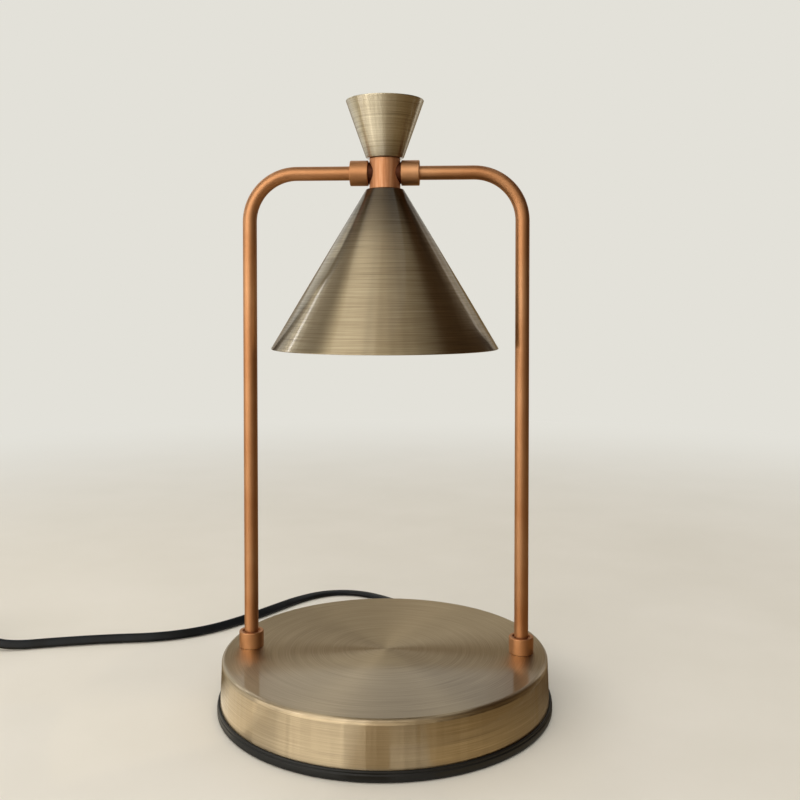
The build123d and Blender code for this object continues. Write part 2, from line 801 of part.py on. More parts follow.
def coil_point(turn):
    """A point of the coil's middle line, by the angle wound since its start.

    The line spirals inwards on the lower layer, climbs in the half turn where it reverses,
    and spirals outwards on the upper layer.
    """
    climb = min(max(turn - spiral_turn, 0), math.pi)
    wound_in = min(turn, spiral_turn)
    wound_out = max(turn - spiral_turn - math.pi, 0)
    radius = coil_outer_radius + coil_pitch * (wound_out - wound_in) / (2 * math.pi)
    radius -= coil_inner_dip * math.sin(climb)
    height = coil_low + coil_layer_step * (1 - math.cos(climb)) / 2
    angle = math.pi / 2 + turn
    return Vector(coil_start_x + radius * math.cos(angle), coil_centre_y + radius * math.sin(angle), height)


def coil_heading(turn):
    """The direction of the coil's middle line there."""
    step = math.pi / 1800
    return (coil_point(turn + step) - coil_point(turn - step)).normalized()


def biarc(start, start_heading, end, end_heading):
    """Two tangent arcs from one point and heading to another."""
    gap, both = end - start, start_heading + end_heading
    bend = 2 * (1 - start_heading.dot(end_heading))
    along = gap.dot(both)
    reach = (math.sqrt(along**2 + bend * gap.dot(gap)) - along) / bend
    joint = (start + end + (start_heading - end_heading) * reach) * 0.5
    first = TangentArc(start, joint, tangent=start_heading)
    return [first, TangentArc(joint, end, tangent=first % 1)]


def coil_line():
    """The whole put-away line: straight out of the dimmer, the turns, and straight to the plug."""
    quarter = math.pi / 2
    quarters = round((spiral_turn * 2 + math.pi) / quarter)
    turns = [quarter * step for step in range(quarters + 1)]
    points = [coil_point(turn) for turn in turns]
    headings = [coil_heading(turn) for turn in turns]
    headings[0], headings[-1] = Vector(-1, 0, 0), Vector(1, 0, 0)
    outlet = Vector(dimmer_far_x + dimmer_entry_depth, dimmer_inlet.Y, dimmer_inlet.Z)
    settle = points[0] - headings[0] * cord_diameter
    leave = outlet + headings[0] * (dimmer_entry_depth + cord_diameter)
    sink = (settle - leave).normalized()
    middle = (leave + settle) * 0.5
    edges = [Line(outlet, leave)]
    edges += biarc(leave, headings[0], middle, sink)
    edges += biarc(middle, sink, settle, headings[0])
    edges.append(Line(settle, points[0]))
    for start, end, heading, next_heading in zip(points, points[1:], headings, headings[1:]):
        edges += biarc(start, heading, end, next_heading)
    edges.append(Line(points[-1], points[-1] + headings[-1] * coil_lead_out))
    return Wire(edges)


def least_self_gap(path):
    """The least distance between two stretches of the put-away cord, less its diameter."""
    count = round(path.length / (cord_diameter / 2))
    points = [path @ (step / count) for step in range(count + 1)]
    apart = 10
    return min((points[i] - points[j]).length for i in range(count + 1) for j in range(i + apart, count + 1)) \
        - cord_diameter


def make_cord_coil():
    path = coil_line()
    coil = tube_along(path, cord_diameter / 2)
    print("coil length", round(path.length, 1), "least gap to itself", round(least_self_gap(path), 2),
          "volume against section times length",
          round(coil.volume / (math.pi * cord_diameter**2 / 4 * path.length), 5))
    return coil


def make_coil_tie():
    half = tie_width / 2
    inner = math.sqrt((coil_inner_radius - coil_inner_dip - cord_diameter / 2)**2 - half**2) - tie_gap
    outer = coil_outer_radius + cord_diameter / 2 + tie_gap
    low = coil_low - cord_diameter / 2 - tie_gap
    high = coil_high + cord_diameter / 2 + tie_gap
    far, near = coil_start_x - outer, coil_start_x - inner
    band = block((far - tie_thickness, coil_centre_y - half, low - tie_thickness),
                 (near + tie_thickness, coil_centre_y + half, high + tie_thickness))
    band = fillet(band.edges().filter_by(Axis.Y), cord_diameter / 2)
    hole = block((far, coil_centre_y - tie_width, low), (near, coil_centre_y + tie_width, high))
    return band - fillet(hole.edges().filter_by(Axis.Y), cord_diameter / 2 - tie_thickness)


def plug_start():
    """Where the put-away cord enters the plug."""
    return coil_line() @ 1


def make_plug_body():
    entry = plug_start()
    face = entry.X + plug_back_length + plug_length
    head = block((entry.X + plug_back_length, entry.Y - plug_width / 2, 0),
                 (face, entry.Y + plug_width / 2, entry.Z * 2))
    head = fillet(head.edges().filter_by(Axis.X), plug_edge_radius)
    head = fillet(head.faces().sort_by(Axis.X)[0].edges(), plug_edge_radius)
    back = turned((0, 0), (plug_back_radius * 0.75, 0), (plug_back_radius, plug_back_length + plug_edge_radius),
                  (0, plug_back_length + plug_edge_radius))
    return head + Pos(*entry) * Rot(0, 90, 0) * back


def make_plug_blades():
    entry = plug_start()
    face = entry.X + plug_back_length + plug_length
    blades = []
    for side in (-1, 1):
        y = entry.Y + side * blade_spread / 2
        blade = block((face, y - blade_thickness / 2, entry.Z - blade_width / 2),
                      (face + blade_length, y + blade_thickness / 2, entry.Z + blade_width / 2))
        blades.append(fillet(blade.faces().sort_by(Axis.X)[-1].edges().filter_by(Axis.Y), blade_thickness))
    return group(blades)


def all_pieces():
    """Every piece by its node's name."""
    tube, foot, arm = make_frame_tube_right(), make_foot_collar_right(), make_arm_collar_right()
    spacer, screw = make_pivot_spacer_right(), make_pivot_screw_right()
    shell = make_base_shell()
    return {
        "rubber_foot_ring": make_rubber_foot_ring(),
        "base_shell": shell,
        "ballast_weight": make_ballast_weight(),
        "base_plate": make_base_plate(),
        "plate_screws": make_plate_screws(),
        "leg_washers": make_leg_washers(),
        "leg_nuts": make_leg_nuts(),
        "frame_tube_right": tube,
        "frame_tube_left": mirrored(tube),
        "foot_collar_right": foot,
        "foot_collar_left": mirrored(foot),
        "arm_collar_right": arm,
        "arm_collar_left": mirrored(arm),
        "pivot_spacer_right": spacer,
        "pivot_spacer_left": mirrored(spacer),
        "pivot_screw_right": screw,
        "pivot_screw_left": mirrored(screw),
        "pivot_spring_washers": make_pivot_spring_washers(),
        "neck_block": make_neck_block(),
        "stem_tube": make_stem_tube(),
        "shade": make_shade(),
        "shade_nut": stem_nut(bracket_top),
        "top_cone": make_top_cone(),
        "top_cone_nut": stem_nut(cone_nut_bottom),
        "top_cap": make_top_cap(),
        "holder_bracket": make_holder_bracket(),
        "holder_nut": stem_nut(holder_nut_top - stem_nut_height),
        "holder_screws": make_holder_screws(),
        "lamp_holder": make_lamp_holder(),
        "bulb_base": make_bulb_base(),
        "bulb_pins": make_bulb_pins(),
        "bulb_capsule": make_bulb_capsule(),
        "bulb_reflector": make_bulb_reflector(),
        "bulb_lens": make_bulb_lens(),
        "lead_pair_frame": make_lead_pair_frame(),
        "lead_pair_head": make_lead_pair_head(),
        "terminal_block": make_terminal_block(),
        "cord_clamp": make_cord_clamp(),
        "cord_clamp_screws": make_cord_clamp_screws(),
        "cord_inner_tail": make_cord_inner_tail(),
        "cord_bushing": make_cord_bushing(shell),
        "supply_cord": make_supply_cord(),
        "dimmer_case_lower": make_dimmer_case_lower(),
        "dimmer_case_upper": make_dimmer_case_upper(),
        "dimmer_wheel": make_dimmer_wheel(),
        "dimmer_potentiometer": make_dimmer_potentiometer(),
        "dimmer_board": make_dimmer_board(),
        "dimmer_components": make_dimmer_components(),
        "dimmer_case_screws": make_dimmer_case_screws(),
        "cord_coil": make_cord_coil(),
        "coil_tie": make_coil_tie(),
        "plug_body": make_plug_body(),
        "plug_blades": make_plug_blades(),
    }


os.makedirs("parts", exist_ok=True)
for node, piece in all_pieces().items():
    export_step(piece, f"parts/{node}.step")
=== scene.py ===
# %% [markdown]
# A cone-shade table lamp
#
# A warming lamp: a brushed bronze cone hangs between two satin copper legs, over a round weighted base
# that a jar or a plant stands on. A flat black cord leaves at the back. The measured parts come in from
# the frame, and this lesson dresses them: turned metal, bent tube, flat cord, and the finishes on them.
# The row frame is in metres, with Z up, the arms along X and the front at -Y. Most sizes below are in
# millimetres, and MM turns them into metres.

import json
import math

import bmesh
import bpy
import numpy as np
from mathutils import Matrix, Vector


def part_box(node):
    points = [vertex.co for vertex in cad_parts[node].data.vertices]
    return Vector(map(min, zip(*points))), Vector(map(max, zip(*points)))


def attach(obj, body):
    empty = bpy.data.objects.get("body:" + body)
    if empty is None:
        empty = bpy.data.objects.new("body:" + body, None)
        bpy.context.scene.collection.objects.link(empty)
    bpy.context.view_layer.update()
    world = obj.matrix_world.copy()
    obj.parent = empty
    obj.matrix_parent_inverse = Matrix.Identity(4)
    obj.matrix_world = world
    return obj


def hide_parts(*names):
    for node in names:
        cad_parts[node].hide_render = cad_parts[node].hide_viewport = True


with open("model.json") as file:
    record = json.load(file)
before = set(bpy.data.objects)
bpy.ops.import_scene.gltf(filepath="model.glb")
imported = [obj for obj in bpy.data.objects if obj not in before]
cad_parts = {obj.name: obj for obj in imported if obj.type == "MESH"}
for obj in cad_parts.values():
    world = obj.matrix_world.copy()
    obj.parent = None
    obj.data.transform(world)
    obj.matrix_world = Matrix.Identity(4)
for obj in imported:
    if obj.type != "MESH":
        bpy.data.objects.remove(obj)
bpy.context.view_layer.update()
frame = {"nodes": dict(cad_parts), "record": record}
MM = 0.001
TURN = 2 * math.pi

# %% [markdown]
# The camera
#
# The photograph is taken from a little to the right and from shade height, so the base is seen from
# above and the top cone from below. A fit of the lamp's known proportions gave the place, the lens and
# a small downward shift of the frame. A camera that is tilted down would show the same, but the shift
# keeps the upright legs nearly parallel, as they are in the photograph.

# %% Camera at the photograph's view
SENSOR_MM, IMAGE_PX, FOCAL_PX, AXIS_ROW_PX = 36.0, 800.0, 953.0, 321.2
CAMERA_MM, CAMERA_HEADING, CAMERA_PITCH = (37.97, -474.94, 204.3), (-0.06399, 0.99795), math.radians(1.566)
CLIP_START = 0.02


def looking(place, way):
    """The placing of a camera or lamp that looks along a direction: its own -Z on that direction, its Y up."""
    return Matrix.Translation(Vector(place)) @ Vector(way).to_track_quat("-Z", "Y").to_matrix().to_4x4()


camera_data = bpy.data.cameras.new("camera")
camera = bpy.data.objects.new("camera", camera_data)
bpy.context.collection.objects.link(camera)
camera_data.sensor_width = SENSOR_MM
camera_data.lens = FOCAL_PX / IMAGE_PX * SENSOR_MM
camera_data.shift_y = (AXIS_ROW_PX - IMAGE_PX / 2) / IMAGE_PX
camera_data.clip_start = CLIP_START
camera_aim = [part * math.cos(CAMERA_PITCH) for part in CAMERA_HEADING] + [-math.sin(CAMERA_PITCH)]
camera.matrix_world = looking(Vector(CAMERA_MM) * MM, camera_aim)
bpy.context.scene.camera = camera
print("lens", round(camera_data.lens, 2), "mm, shift", round(camera_data.shift_y, 4))

# %% [markdown]
# Surfaces from numbers
#
# Nearly every piece of this lamp was turned on a lathe, bent from tube or run off a reel. So two grids do
# most of the work: an outline spun about an axis, and a section carried along a line. Blender's Screw and
# Curve tools could do both, but a grid of numbers keeps every size exact. One function turns a grid of points
# into a closed mesh, and gives it a UV map in metres, so that a brush line or a moulded grain can have its
# real size.

# %% A mesh from a grid of points
WELD = 1e-7


def skin(name, points, around, along, loop_rows=False):
    """A closed mesh over a grid: vertex (i, j) is points[i, j], each cell of four neighbours is a face, and
    the columns close on themselves. UV is (around[j], along[i]) in metres. Rows that shrink to one point
    are welded to a pole."""
    rows, columns = points.shape[:2]
    last = rows if loop_rows else rows - 1
    i, j = np.meshgrid(np.arange(last), np.arange(columns), indexing="ij")
    down, right = (i + 1) % rows, (j + 1) % columns
    faces = np.stack([i * columns + j, i * columns + right, down * columns + right, down * columns + j], -1)
    uv = np.stack([
        np.stack([around[j], along[i]], -1),
        np.stack([around[j + 1], along[i]], -1),
        np.stack([around[j + 1], along[i + 1]], -1),
        np.stack([around[j], along[i + 1]], -1),
    ], 2)
    mesh = bpy.data.meshes.new(name)
    mesh.from_pydata(points.reshape(-1, 3).tolist(), [], faces.reshape(-1, 4).tolist())
    layer = mesh.uv_layers.new(name="UVMap")
    layer.data.foreach_set("uv", uv.reshape(-1).astype(np.float32))
    work = bmesh.new()
    work.from_mesh(mesh)
    bmesh.ops.remove_doubles(work, verts=work.verts, dist=WELD)
    bmesh.ops.recalc_face_normals(work, faces=work.faces)
    work.to_mesh(mesh)
    work.free()
    mesh.polygons.foreach_set("use_smooth", np.ones(len(mesh.polygons), bool))
    piece = bpy.data.objects.new(name, mesh)
    bpy.context.collection.objects.link(piece)
    return piece


def distances(points):
    """The distance along a line of points from its start: the running sum of the steps' lengths."""
    return np.concatenate([[0], np.cumsum(np.linalg.norm(np.diff(points, axis=0), axis=1))])


def rejoined(points):
    """A line of points with its first point again at its end."""
    return np.concatenate([points, points[:1]])


# %% A closed outline with rounded corners
def outline_of(corners, arc_steps=6, spacing=3.0, guard=0.12, most=0.48):
    """Points of a closed outline in millimetres. Each corner (radius, height, rounding) is cut by the arc
    that touches both its sides: its ends lie rounding / tan(half the corner's angle) from the corner, and
    take up no more than a share of the shorter side. Straight sides get a guard point close to each end,
    so that smooth shading leaves them flat."""
    spots = np.array([corner[:2] for corner in corners], float)
    runs = []
    for k, (*_, rounding) in enumerate(corners):
        spot = spots[k]
        back, ahead = spots[k - 1] - spot, spots[(k + 1) % len(spots)] - spot
        back_unit, ahead_unit = back / np.linalg.norm(back), ahead / np.linalg.norm(ahead)
        if rounding <= 0:
            runs.append(spot[None])
            continue
        half = math.acos(np.clip(back_unit @ ahead_unit, -1, 1)) / 2
        reach = min(rounding / math.tan(half), most * min(np.linalg.norm(back), np.linalg.norm(ahead)))
        bow = reach * math.tan(half)
        middle = back_unit + ahead_unit
        centre = spot + middle / np.linalg.norm(middle) * bow / math.sin(half)
        first, final = spot + back_unit * reach - centre, spot + ahead_unit * reach - centre
        sweep = math.acos(np.clip(first @ final / bow**2, -1, 1))
        t = np.linspace(0, 1, arc_steps)[:, None]
        runs.append(centre + (np.sin((1 - t) * sweep) * first + np.sin(t * sweep) * final) / math.sin(sweep))
    points = []
    for k, run in enumerate(runs):
        points.append(run)
        start, end = run[-1], runs[(k + 1) % len(runs)][0]
        length = np.linalg.norm(end - start)
        if length > 4 * guard:
            inner = np.linspace(guard, length - guard, max(2, int(length / spacing) + 1))
            points.append(start + (end - start) * (inner / length)[:, None])
    return np.concatenate(points)


# %% A turned piece
def turned(name, corners, columns=160, axis="Z", centre=(0, 0, 0), **rounding):
    """An outline spun about an axis: the point at angle a is (r cos a, r sin a) beside the axis and its
    height along it. UV runs round the piece at its middle radius, and along the outline."""
    outline = outline_of(corners, **rounding)
    angle = np.linspace(0, TURN, columns + 1)
    radius, height = outline[:, :1], np.repeat(outline[:, 1:], columns, 1)
    one, two = radius * np.cos(angle[:-1]), radius * np.sin(angle[:-1])
    order = {"Z": (one, two, height), "X": (height, one, two), "Y": (two, height, one)}[axis]
    points = (np.stack(order, -1) + np.array(centre)) * MM
    around = angle * outline[:, 0].mean() * MM
    return skin(name, points, around, distances(rejoined(outline)) * MM, loop_rows=True)


# %% A section carried along a line
def rings_along(line, across, up, section):
    """Ring i is line[i] plus the section's first number times across[i] and its second times up[i]."""
    return line[:, None] + section[None, :, :1] * across[:, None] + section[None, :, 1:] * up[:, None]


def swept(name, line, across, up, section, closed=False):
    """A skin over the rings of a section along a line, in millimetres. An open sweep ends in a pole at each
    end. UV runs round the section and along the line."""
    rings = rings_along(line, across, up, section)
    if closed:
        line = rejoined(line)
    else:
        ends = [np.repeat(line[k][None, None], len(section), 1) for k in (0, -1)]
        rings = np.concatenate([ends[0], rings, ends[1]])
        line = np.concatenate([line[:1], line, line[-1:]])
    around = distances(rejoined(section)) * MM
    return skin(name, rings * MM, around, distances(line) * MM, loop_rows=closed)


def wear(piece, body, slot, material, *nodes):
    """Puts a finish on a piece, lets it ride on a body and stand for CAD nodes."""
    piece.data.materials.clear()
    piece.data.materials.append(material)
    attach(piece, body)
    if nodes:
        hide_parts(*nodes)
    print(piece.name, len(piece.data.polygons), "faces")
    return piece


# %% [markdown]
# Finishes
#
# Colours are written as sRGB hex, as they would be picked from a paint card, and one function makes them
# linear for the shader. One more adds a node, sets it and links it. Every pattern below takes its scale
# from a size in millimetres.


# %% Colour and node helpers
def linear(code):
    """An sRGB hex colour as linear RGBA: c / 12.92 below 0.04045, and ((c + 0.055) / 1.055) ^ 2.4 above."""
    parts = np.array([int(code[k:k + 2], 16) for k in (1, 3, 5)]) / 255
    flat = np.where(parts <= 0.04045, parts / 12.92, ((parts + 0.055) / 1.055) ** 2.4)
    return (*flat.tolist(), 1.0)


def feed(tree, node, links):
    """Links outputs into a node that is already there."""
    for key, socket in dict(links).items():
        tree.links.new(socket, node.inputs[key])


def add(tree, kind, values=(), links=(), stops=(), **settings):
    """Adds one node to a tree, with its settings, the values of its sockets, the links into them and, where it
    has a colour ramp, the ramp's stops: each is a place from 0 to 1 and a hex colour."""
    made = tree.nodes.new("ShaderNode" + kind)
    for key, value in settings.items():
        setattr(made, key, value)
    for key, value in dict(values).items():
        made.inputs[key].default_value = value
    if stops:
        elements = made.color_ramp.elements
        while len(elements) < len(stops):
            elements.new(0.5)
        for element, (place, code) in zip(elements, stops):
            element.position, element.color = place, linear(code)
    feed(tree, made, links)
    return made


def blank(name, **sockets):
    """A new material with its numbers set on the shader's own sockets."""
    material = bpy.data.materials.new(name)
    material.use_nodes = True
    tree = material.node_tree
    shader = tree.nodes["Principled BSDF"]
    for key, value in sockets.items():
        shader.inputs[key.replace("_", " ").title().replace("Ior", "IOR")].default_value = value
    return material, tree, shader


def per_metre(*sizes_mm):
    """The scale that gives a noise these sizes along X, Y and Z: one over each size in metres."""
    return tuple(1 / (size * MM) for size in sizes_mm)


# %% [markdown]
# Brushed antique bronze
#
# Steel, plated with bronze, darkened, then brushed back on the lathe and lacquered. The brush runs round the
# piece, so the dark stays in fine rings, and the light spreads across them into tall bands. A picture of
# brushed metal would show its seam, so the rings are a noise that is squeezed along the outline, and the bands
# come from an anisotropic shader whose tangent follows the UV map. Real brush lines are a tenth of a millimetre
# wide: they are drawn three to six times as wide, with a few broad ones, so that they show.

# %% Brushed antique bronze
BRUSH_LINES = ((26, 0.3, 1), (40, 0.62, 2), (90, 2.4, 2))  # stroke length and width in mm, noise detail
SECOND_SHARE, BROAD_SHARE, BRUSH_DEEP_MM = 0.34, 0.14, 0.02
STAIN_MM, STAIN_FROM, STAIN_FULL, STAIN_MOST = 45, 0.4, 0.75, 0.3
NOISE_LOW, NOISE_HIGH = 0.3, 0.7  # nearly all of a noise lies between these
DARK_RING_ROUGH, LIGHT_RING_ROUGH = 0.41, 0.29
RIPPLE_END, RIPPLE_FULL, RIPPLE_DEEP_MM = 0.0245, 0.0235, 0.9


def brushed_bronze(name, dark, middle, light, painted_shade, lacquer=0.8, ripple_mm=0.0):
    """Rings of three bronze tones round Z: noise on (x, y, distance along the outline), squeezed along the
    last. From one height to another the tones turn, by a share, to a darker colour: painted shade, towards
    the neck on the shade and the top cone, and over the base's top face. With a ripple, a noise on (x, y)
    alone bends the surface below 24 mm, as polishing by hand leaves an upright wall."""
    material, tree, shader = blank(name, metallic=1.0, anisotropic=0.95, anisotropic_rotation=0.25,
                                   coat_weight=lacquer, coat_roughness=0.06)
    shade_clear_z, shade_full_z, shade_share, shade_colour = painted_shade
    place = add(tree, "TexCoord")
    flat = add(tree, "SeparateXYZ", links={0: place.outputs["UV"]})
    deep = add(tree, "SeparateXYZ", links={0: place.outputs["Object"]})
    spot = add(tree, "CombineXYZ", links={0: deep.outputs[0], 1: deep.outputs[1], 2: flat.outputs[1]})
    lines = []
    for stroke_mm, width_mm, detail in BRUSH_LINES:
        scaled = add(tree, "VectorMath", {1: per_metre(stroke_mm, stroke_mm, width_mm)}, {0: spot.outputs[0]},
                     operation="MULTIPLY")
        lines.append(add(tree, "TexNoise", {"Scale": 1.0, "Detail": detail}, {"Vector": scaled.outputs[0]}))
    pair = add(tree, "Mix", {0: SECOND_SHARE}, {2: lines[0].outputs[0], 3: lines[1].outputs[0]})
    rings = add(tree, "Mix", {0: BROAD_SHARE}, {2: pair.outputs[0], 3: lines[2].outputs[0]})
    tones = add(tree, "ValToRGB", links={0: rings.outputs[0]},
                stops=((NOISE_LOW, dark), (0.5, middle), (NOISE_HIGH, light)))
    cloud = add(tree, "TexNoise", {"Scale": 1 / (STAIN_MM * MM), "Detail": 3.0},
                {"Vector": place.outputs["Object"]})
    stain = add(tree, "MapRange", {1: STAIN_FROM, 2: STAIN_FULL, 3: 0.0, 4: STAIN_MOST}, {0: cloud.outputs[0]})
    worn = add(tree, "Mix", {7: linear(dark)}, {0: stain.outputs[0], 6: tones.outputs[0]}, data_type="RGBA")
    # Painted shade: the tones darken between two heights, towards the neck and over the base's top face
    shade_grade = add(tree, "MapRange", {1: shade_clear_z, 2: shade_full_z, 3: 0.0, 4: shade_share},
                {0: deep.outputs[2]}, interpolation_type="SMOOTHSTEP")
    shaded_tones = add(tree, "Mix", {7: linear(shade_colour)}, {0: shade_grade.outputs[0], 6: worn.outputs[2]},
                 data_type="RGBA")
    rough = add(tree, "MapRange", {1: NOISE_LOW, 2: NOISE_HIGH, 3: DARK_RING_ROUGH, 4: LIGHT_RING_ROUGH},
                {0: rings.outputs[0]})
    bump = add(tree, "Bump", {"Strength": 0.25, "Distance": BRUSH_DEEP_MM * MM}, {"Height": pair.outputs[0]})
    if ripple_mm:
        upright = add(tree, "VectorMath", {1: per_metre(ripple_mm, ripple_mm, math.inf)},
                      {0: place.outputs["Object"]}, operation="MULTIPLY")
        swell = add(tree, "TexNoise", {"Scale": 1.0, "Detail": 2.0}, {"Vector": upright.outputs[0]})
        wall = add(tree, "MapRange", {1: RIPPLE_END, 2: RIPPLE_FULL, 3: 0.0, 4: 1.0}, {0: deep.outputs[2]})
        wave = add(tree, "Math", links={0: swell.outputs[0], 1: wall.outputs[0]}, operation="MULTIPLY")
        bump = add(tree, "Bump", {"Strength": 1.0, "Distance": RIPPLE_DEEP_MM * MM},
                   {"Height": wave.outputs[0], "Normal": bump.outputs[0]})
    tangent = add(tree, "Tangent", direction_type="UV_MAP", uv_map="UVMap")
    feed(tree, shader, {"Base Color": shaded_tones.outputs[2], "Roughness": rough.outputs[0],
                        "Normal": bump.outputs[0], "Tangent": tangent.outputs[0]})
    return material


# The last tuple in each is the painted shade: the height where it starts, where it is full, its share and its
# colour
bronze_shade = brushed_bronze("brushed_bronze_shade", "#8a7b62", "#a8997d", "#c0b294",
                              (0.218, 0.2545, 0.87, "#3a2e20"), lacquer=0.65)
# Lighter tones on the top cone than on the shade: painted light, to brighten it where it mirrors the table
bronze_cone = brushed_bronze("brushed_bronze_cone", "#b1a68d", "#d2c8b0", "#e6dfca",
                             (0.284, 0.266, 0.6, "#4a3b2c"))
bronze_base = brushed_bronze("brushed_bronze_base", "#a5947a", "#b6a486", "#c5b394",
                             (0.0245, 0.026, 0.12, "#6b5a44"), lacquer=0.6, ripple_mm=9)
print("bronze:", bronze_shade.name, bronze_cone.name, bronze_base.name)

# %% [markdown]
# Satin copper
#
# The legs, collars and neck are copper-plated tube and bar with a satin lacquer. The eye gets one warm
# colour, a soft highlight along each tube, and a very fine grain from the lacquer. The neck was brushed
# lengthwise, so its highlight spreads round it, and the brush leaves faint upright streaks. The saddles of the
# pivots sit in the shaded gap between collar and neck, so they get a dark brown copper: painted shade. One
# function with two options makes all three.

# %% Satin copper
COPPER_DRIFT_MM, LACQUER_GRAIN_MM, LACQUER_DEEP_MM, LACQUER_SPREAD = 30, 0.5, 0.01, 0.05
STREAK_LENGTHS, STREAK_SHARE = 20, 0.7


def satin_copper(name, dark, middle, light, roughness, streak_mm=0.0, spread=0.0):
    """Copper tones drift over a few centimetres, and the lacquer has a grain of half a millimetre. With a
    streak width, a noise drawn out along Z, twenty times as long as wide, mixes into the tones."""
    material, tree, shader = blank(name, metallic=1.0, anisotropic=spread, coat_weight=0.12,
                                   coat_roughness=0.25)
    place = add(tree, "TexCoord").outputs["Object"]
    tone = add(tree, "TexNoise", {"Scale": 1 / (COPPER_DRIFT_MM * MM), "Detail": 4.0}, {"Vector": place})
    if streak_mm:
        squeeze = per_metre(streak_mm, streak_mm, STREAK_LENGTHS * streak_mm)
        drawn = add(tree, "VectorMath", {1: squeeze}, {0: place}, operation="MULTIPLY")
        streak = add(tree, "TexNoise", {"Scale": 1.0, "Detail": 2.0}, {"Vector": drawn.outputs[0]})
        tone = add(tree, "Mix", {0: STREAK_SHARE}, {2: tone.outputs[0], 3: streak.outputs[0]})
        tangent = add(tree, "Tangent", direction_type="UV_MAP", uv_map="UVMap")
        feed(tree, shader, {"Tangent": tangent.outputs[0]})
    tones = add(tree, "ValToRGB", links={0: tone.outputs[0]},
                stops=((0.3, dark), (0.52, middle), (0.72, light)))
    grain = add(tree, "TexNoise", {"Scale": 1 / (LACQUER_GRAIN_MM * MM), "Detail": 2.0}, {"Vector": place})
    rough = add(tree, "MapRange", {1: NOISE_LOW, 2: NOISE_HIGH, 3: roughness - LACQUER_SPREAD,
                                   4: roughness + LACQUER_SPREAD}, {0: grain.outputs[0]})
    bump = add(tree, "Bump", {"Strength": 0.12, "Distance": LACQUER_DEEP_MM * MM}, {"Height": grain.outputs[0]})
    feed(tree, shader, {"Base Color": tones.outputs[0], "Roughness": rough.outputs[0],
                        "Normal": bump.outputs[0]})
    return material


copper = satin_copper("satin_copper", "#b17a50", "#bd895f", "#c9986f", 0.47)
copper_neck = satin_copper("brushed_copper_neck", "#ac734b", "#c0875f", "#d1a07b", 0.5, streak_mm=0.9,
                           spread=0.6)
# Painted shade: a dark copper for the pivot saddles, which sit in the shaded gap between collar and neck
shaded_copper_saddle = satin_copper("painted_shade_copper", "#3c1e11", "#4c2817", "#5a3120", 0.58)
print("copper:", copper.name, copper_neck.name, shaded_copper_saddle.name)

# %% [markdown]
# Moulded, cast and plated finishes
#
# The rest is small: rubber, nylon, moulded plastic, ceramic, plated screws. Each is one colour with a second
# tone that drifts over it, and a grain whose size depends on how the surface was made: spark-eroded moulds
# leave pits of about a third of a millimetre, a sand casting is coarser, plating is fine. The eye gets a soft
# broad highlight on rubber and cord, a fine sparkle on eroded plastic, a dull dark grain on cast iron, a bright
# sheen on zinc and brass, and a chalky white on ceramic. Each could have nodes of its own, but one function
# with these sizes makes them all.

# %% Moulded, cast and plated finishes
GRAIN_SPREAD = 0.06


def grained(name, colour, tone, grain_mm, roughness, depth_mm, drift_mm=12.0, **sockets):
    """Two tones mixed by a broad noise, and a fine noise that moves the roughness and lifts the surface."""
    material, tree, shader = blank(name, **sockets)
    place = add(tree, "TexCoord").outputs["Object"]
    broad = add(tree, "TexNoise", {"Scale": 1 / (drift_mm * MM), "Detail": 3.0}, {"Vector": place})
    tones = add(tree, "ValToRGB", links={0: broad.outputs[0]}, stops=((0.35, colour), (0.65, tone)))
    fine = add(tree, "TexNoise", {"Scale": 1 / (grain_mm * MM), "Detail": 2.0}, {"Vector": place})
    rough = add(tree, "MapRange", {1: NOISE_LOW, 2: NOISE_HIGH, 3: roughness - GRAIN_SPREAD,
                                   4: roughness + GRAIN_SPREAD}, {0: fine.outputs[0]})
    bump = add(tree, "Bump", {"Strength": 0.5, "Distance": depth_mm * MM}, {"Height": fine.outputs[0]})
    feed(tree, shader, {"Base Color": tones.outputs[0], "Roughness": rough.outputs[0],
                        "Normal": bump.outputs[0]})
    return material


# Each line: two tones, the grain in millimetres, the roughness, the grain's depth in millimetres
finishes = {
    "bronze": bronze_shade,
    "copper": copper,
    "black_rubber": grained("moulded_rubber", "#0c0c0b", "#131312", 0.35, 0.46, 0.03, specular_ior_level=0.3),
    "black_cord": grained("extruded_pvc_cord", "#080b0f", "#0f1419", 0.6, 0.46, 0.015, specular_ior_level=0.24),
    "black_nylon": grained("matt_nylon", "#131415", "#1c1d1e", 0.3, 0.55, 0.03),
    "black_plastic": grained("eroded_abs_black", "#161616", "#1e1e1e", 0.32, 0.46, 0.05),
    "grey_plastic": grained("moulded_abs_grey", "#4b4e53", "#575b60", 0.32, 0.44, 0.04),
    "iron": grained("sand_cast_iron", "#3a3937", "#4a4845", 0.8, 0.72, 0.1, metallic=0.6),
    "zinc_steel": grained("zinc_plated_steel", "#a9aaa6", "#bdbcb4", 0.25, 0.34, 0.01, metallic=1.0),
    "contact_brass": grained("drawn_brass", "#b8975a", "#cbab6c", 0.25, 0.27, 0.003, metallic=1.0),
    "white_ceramic": grained("unglazed_steatite", "#d9d5c9", "#e6e2d6", 0.3, 0.6, 0.03),
    "reflector": grained("aluminised_glass", "#c9cbce", "#dcdddd", 2.2, 0.13, 0.01, metallic=1.0),
    "white_plastic": grained("natural_nylon", "#dad7cb", "#e5e2d8", 0.4, 0.4, 0.02),
    "lead_insulation": grained("silicone_sleeve", "#cbc6b8", "#d8d3c6", 0.4, 0.55, 0.02),
    "board": grained("board_laminate", "#1c4a2c", "#245a36", 0.5, 0.4, 0.01),
    "board_parts": grained("component_cases", "#22242a", "#2e3138", 0.4, 0.42, 0.02),
}
print(len(finishes), "finishes")

# %% [markdown]
# Clear glass
#
# The bulb's front and its inner capsule are pressed clear glass. The eye gets sharp reflections and a slight
# unevenness from the mould, so the glass is a transmitting shader with a faint wave in its surface. Then every
# measured part gets the finish that its record names.

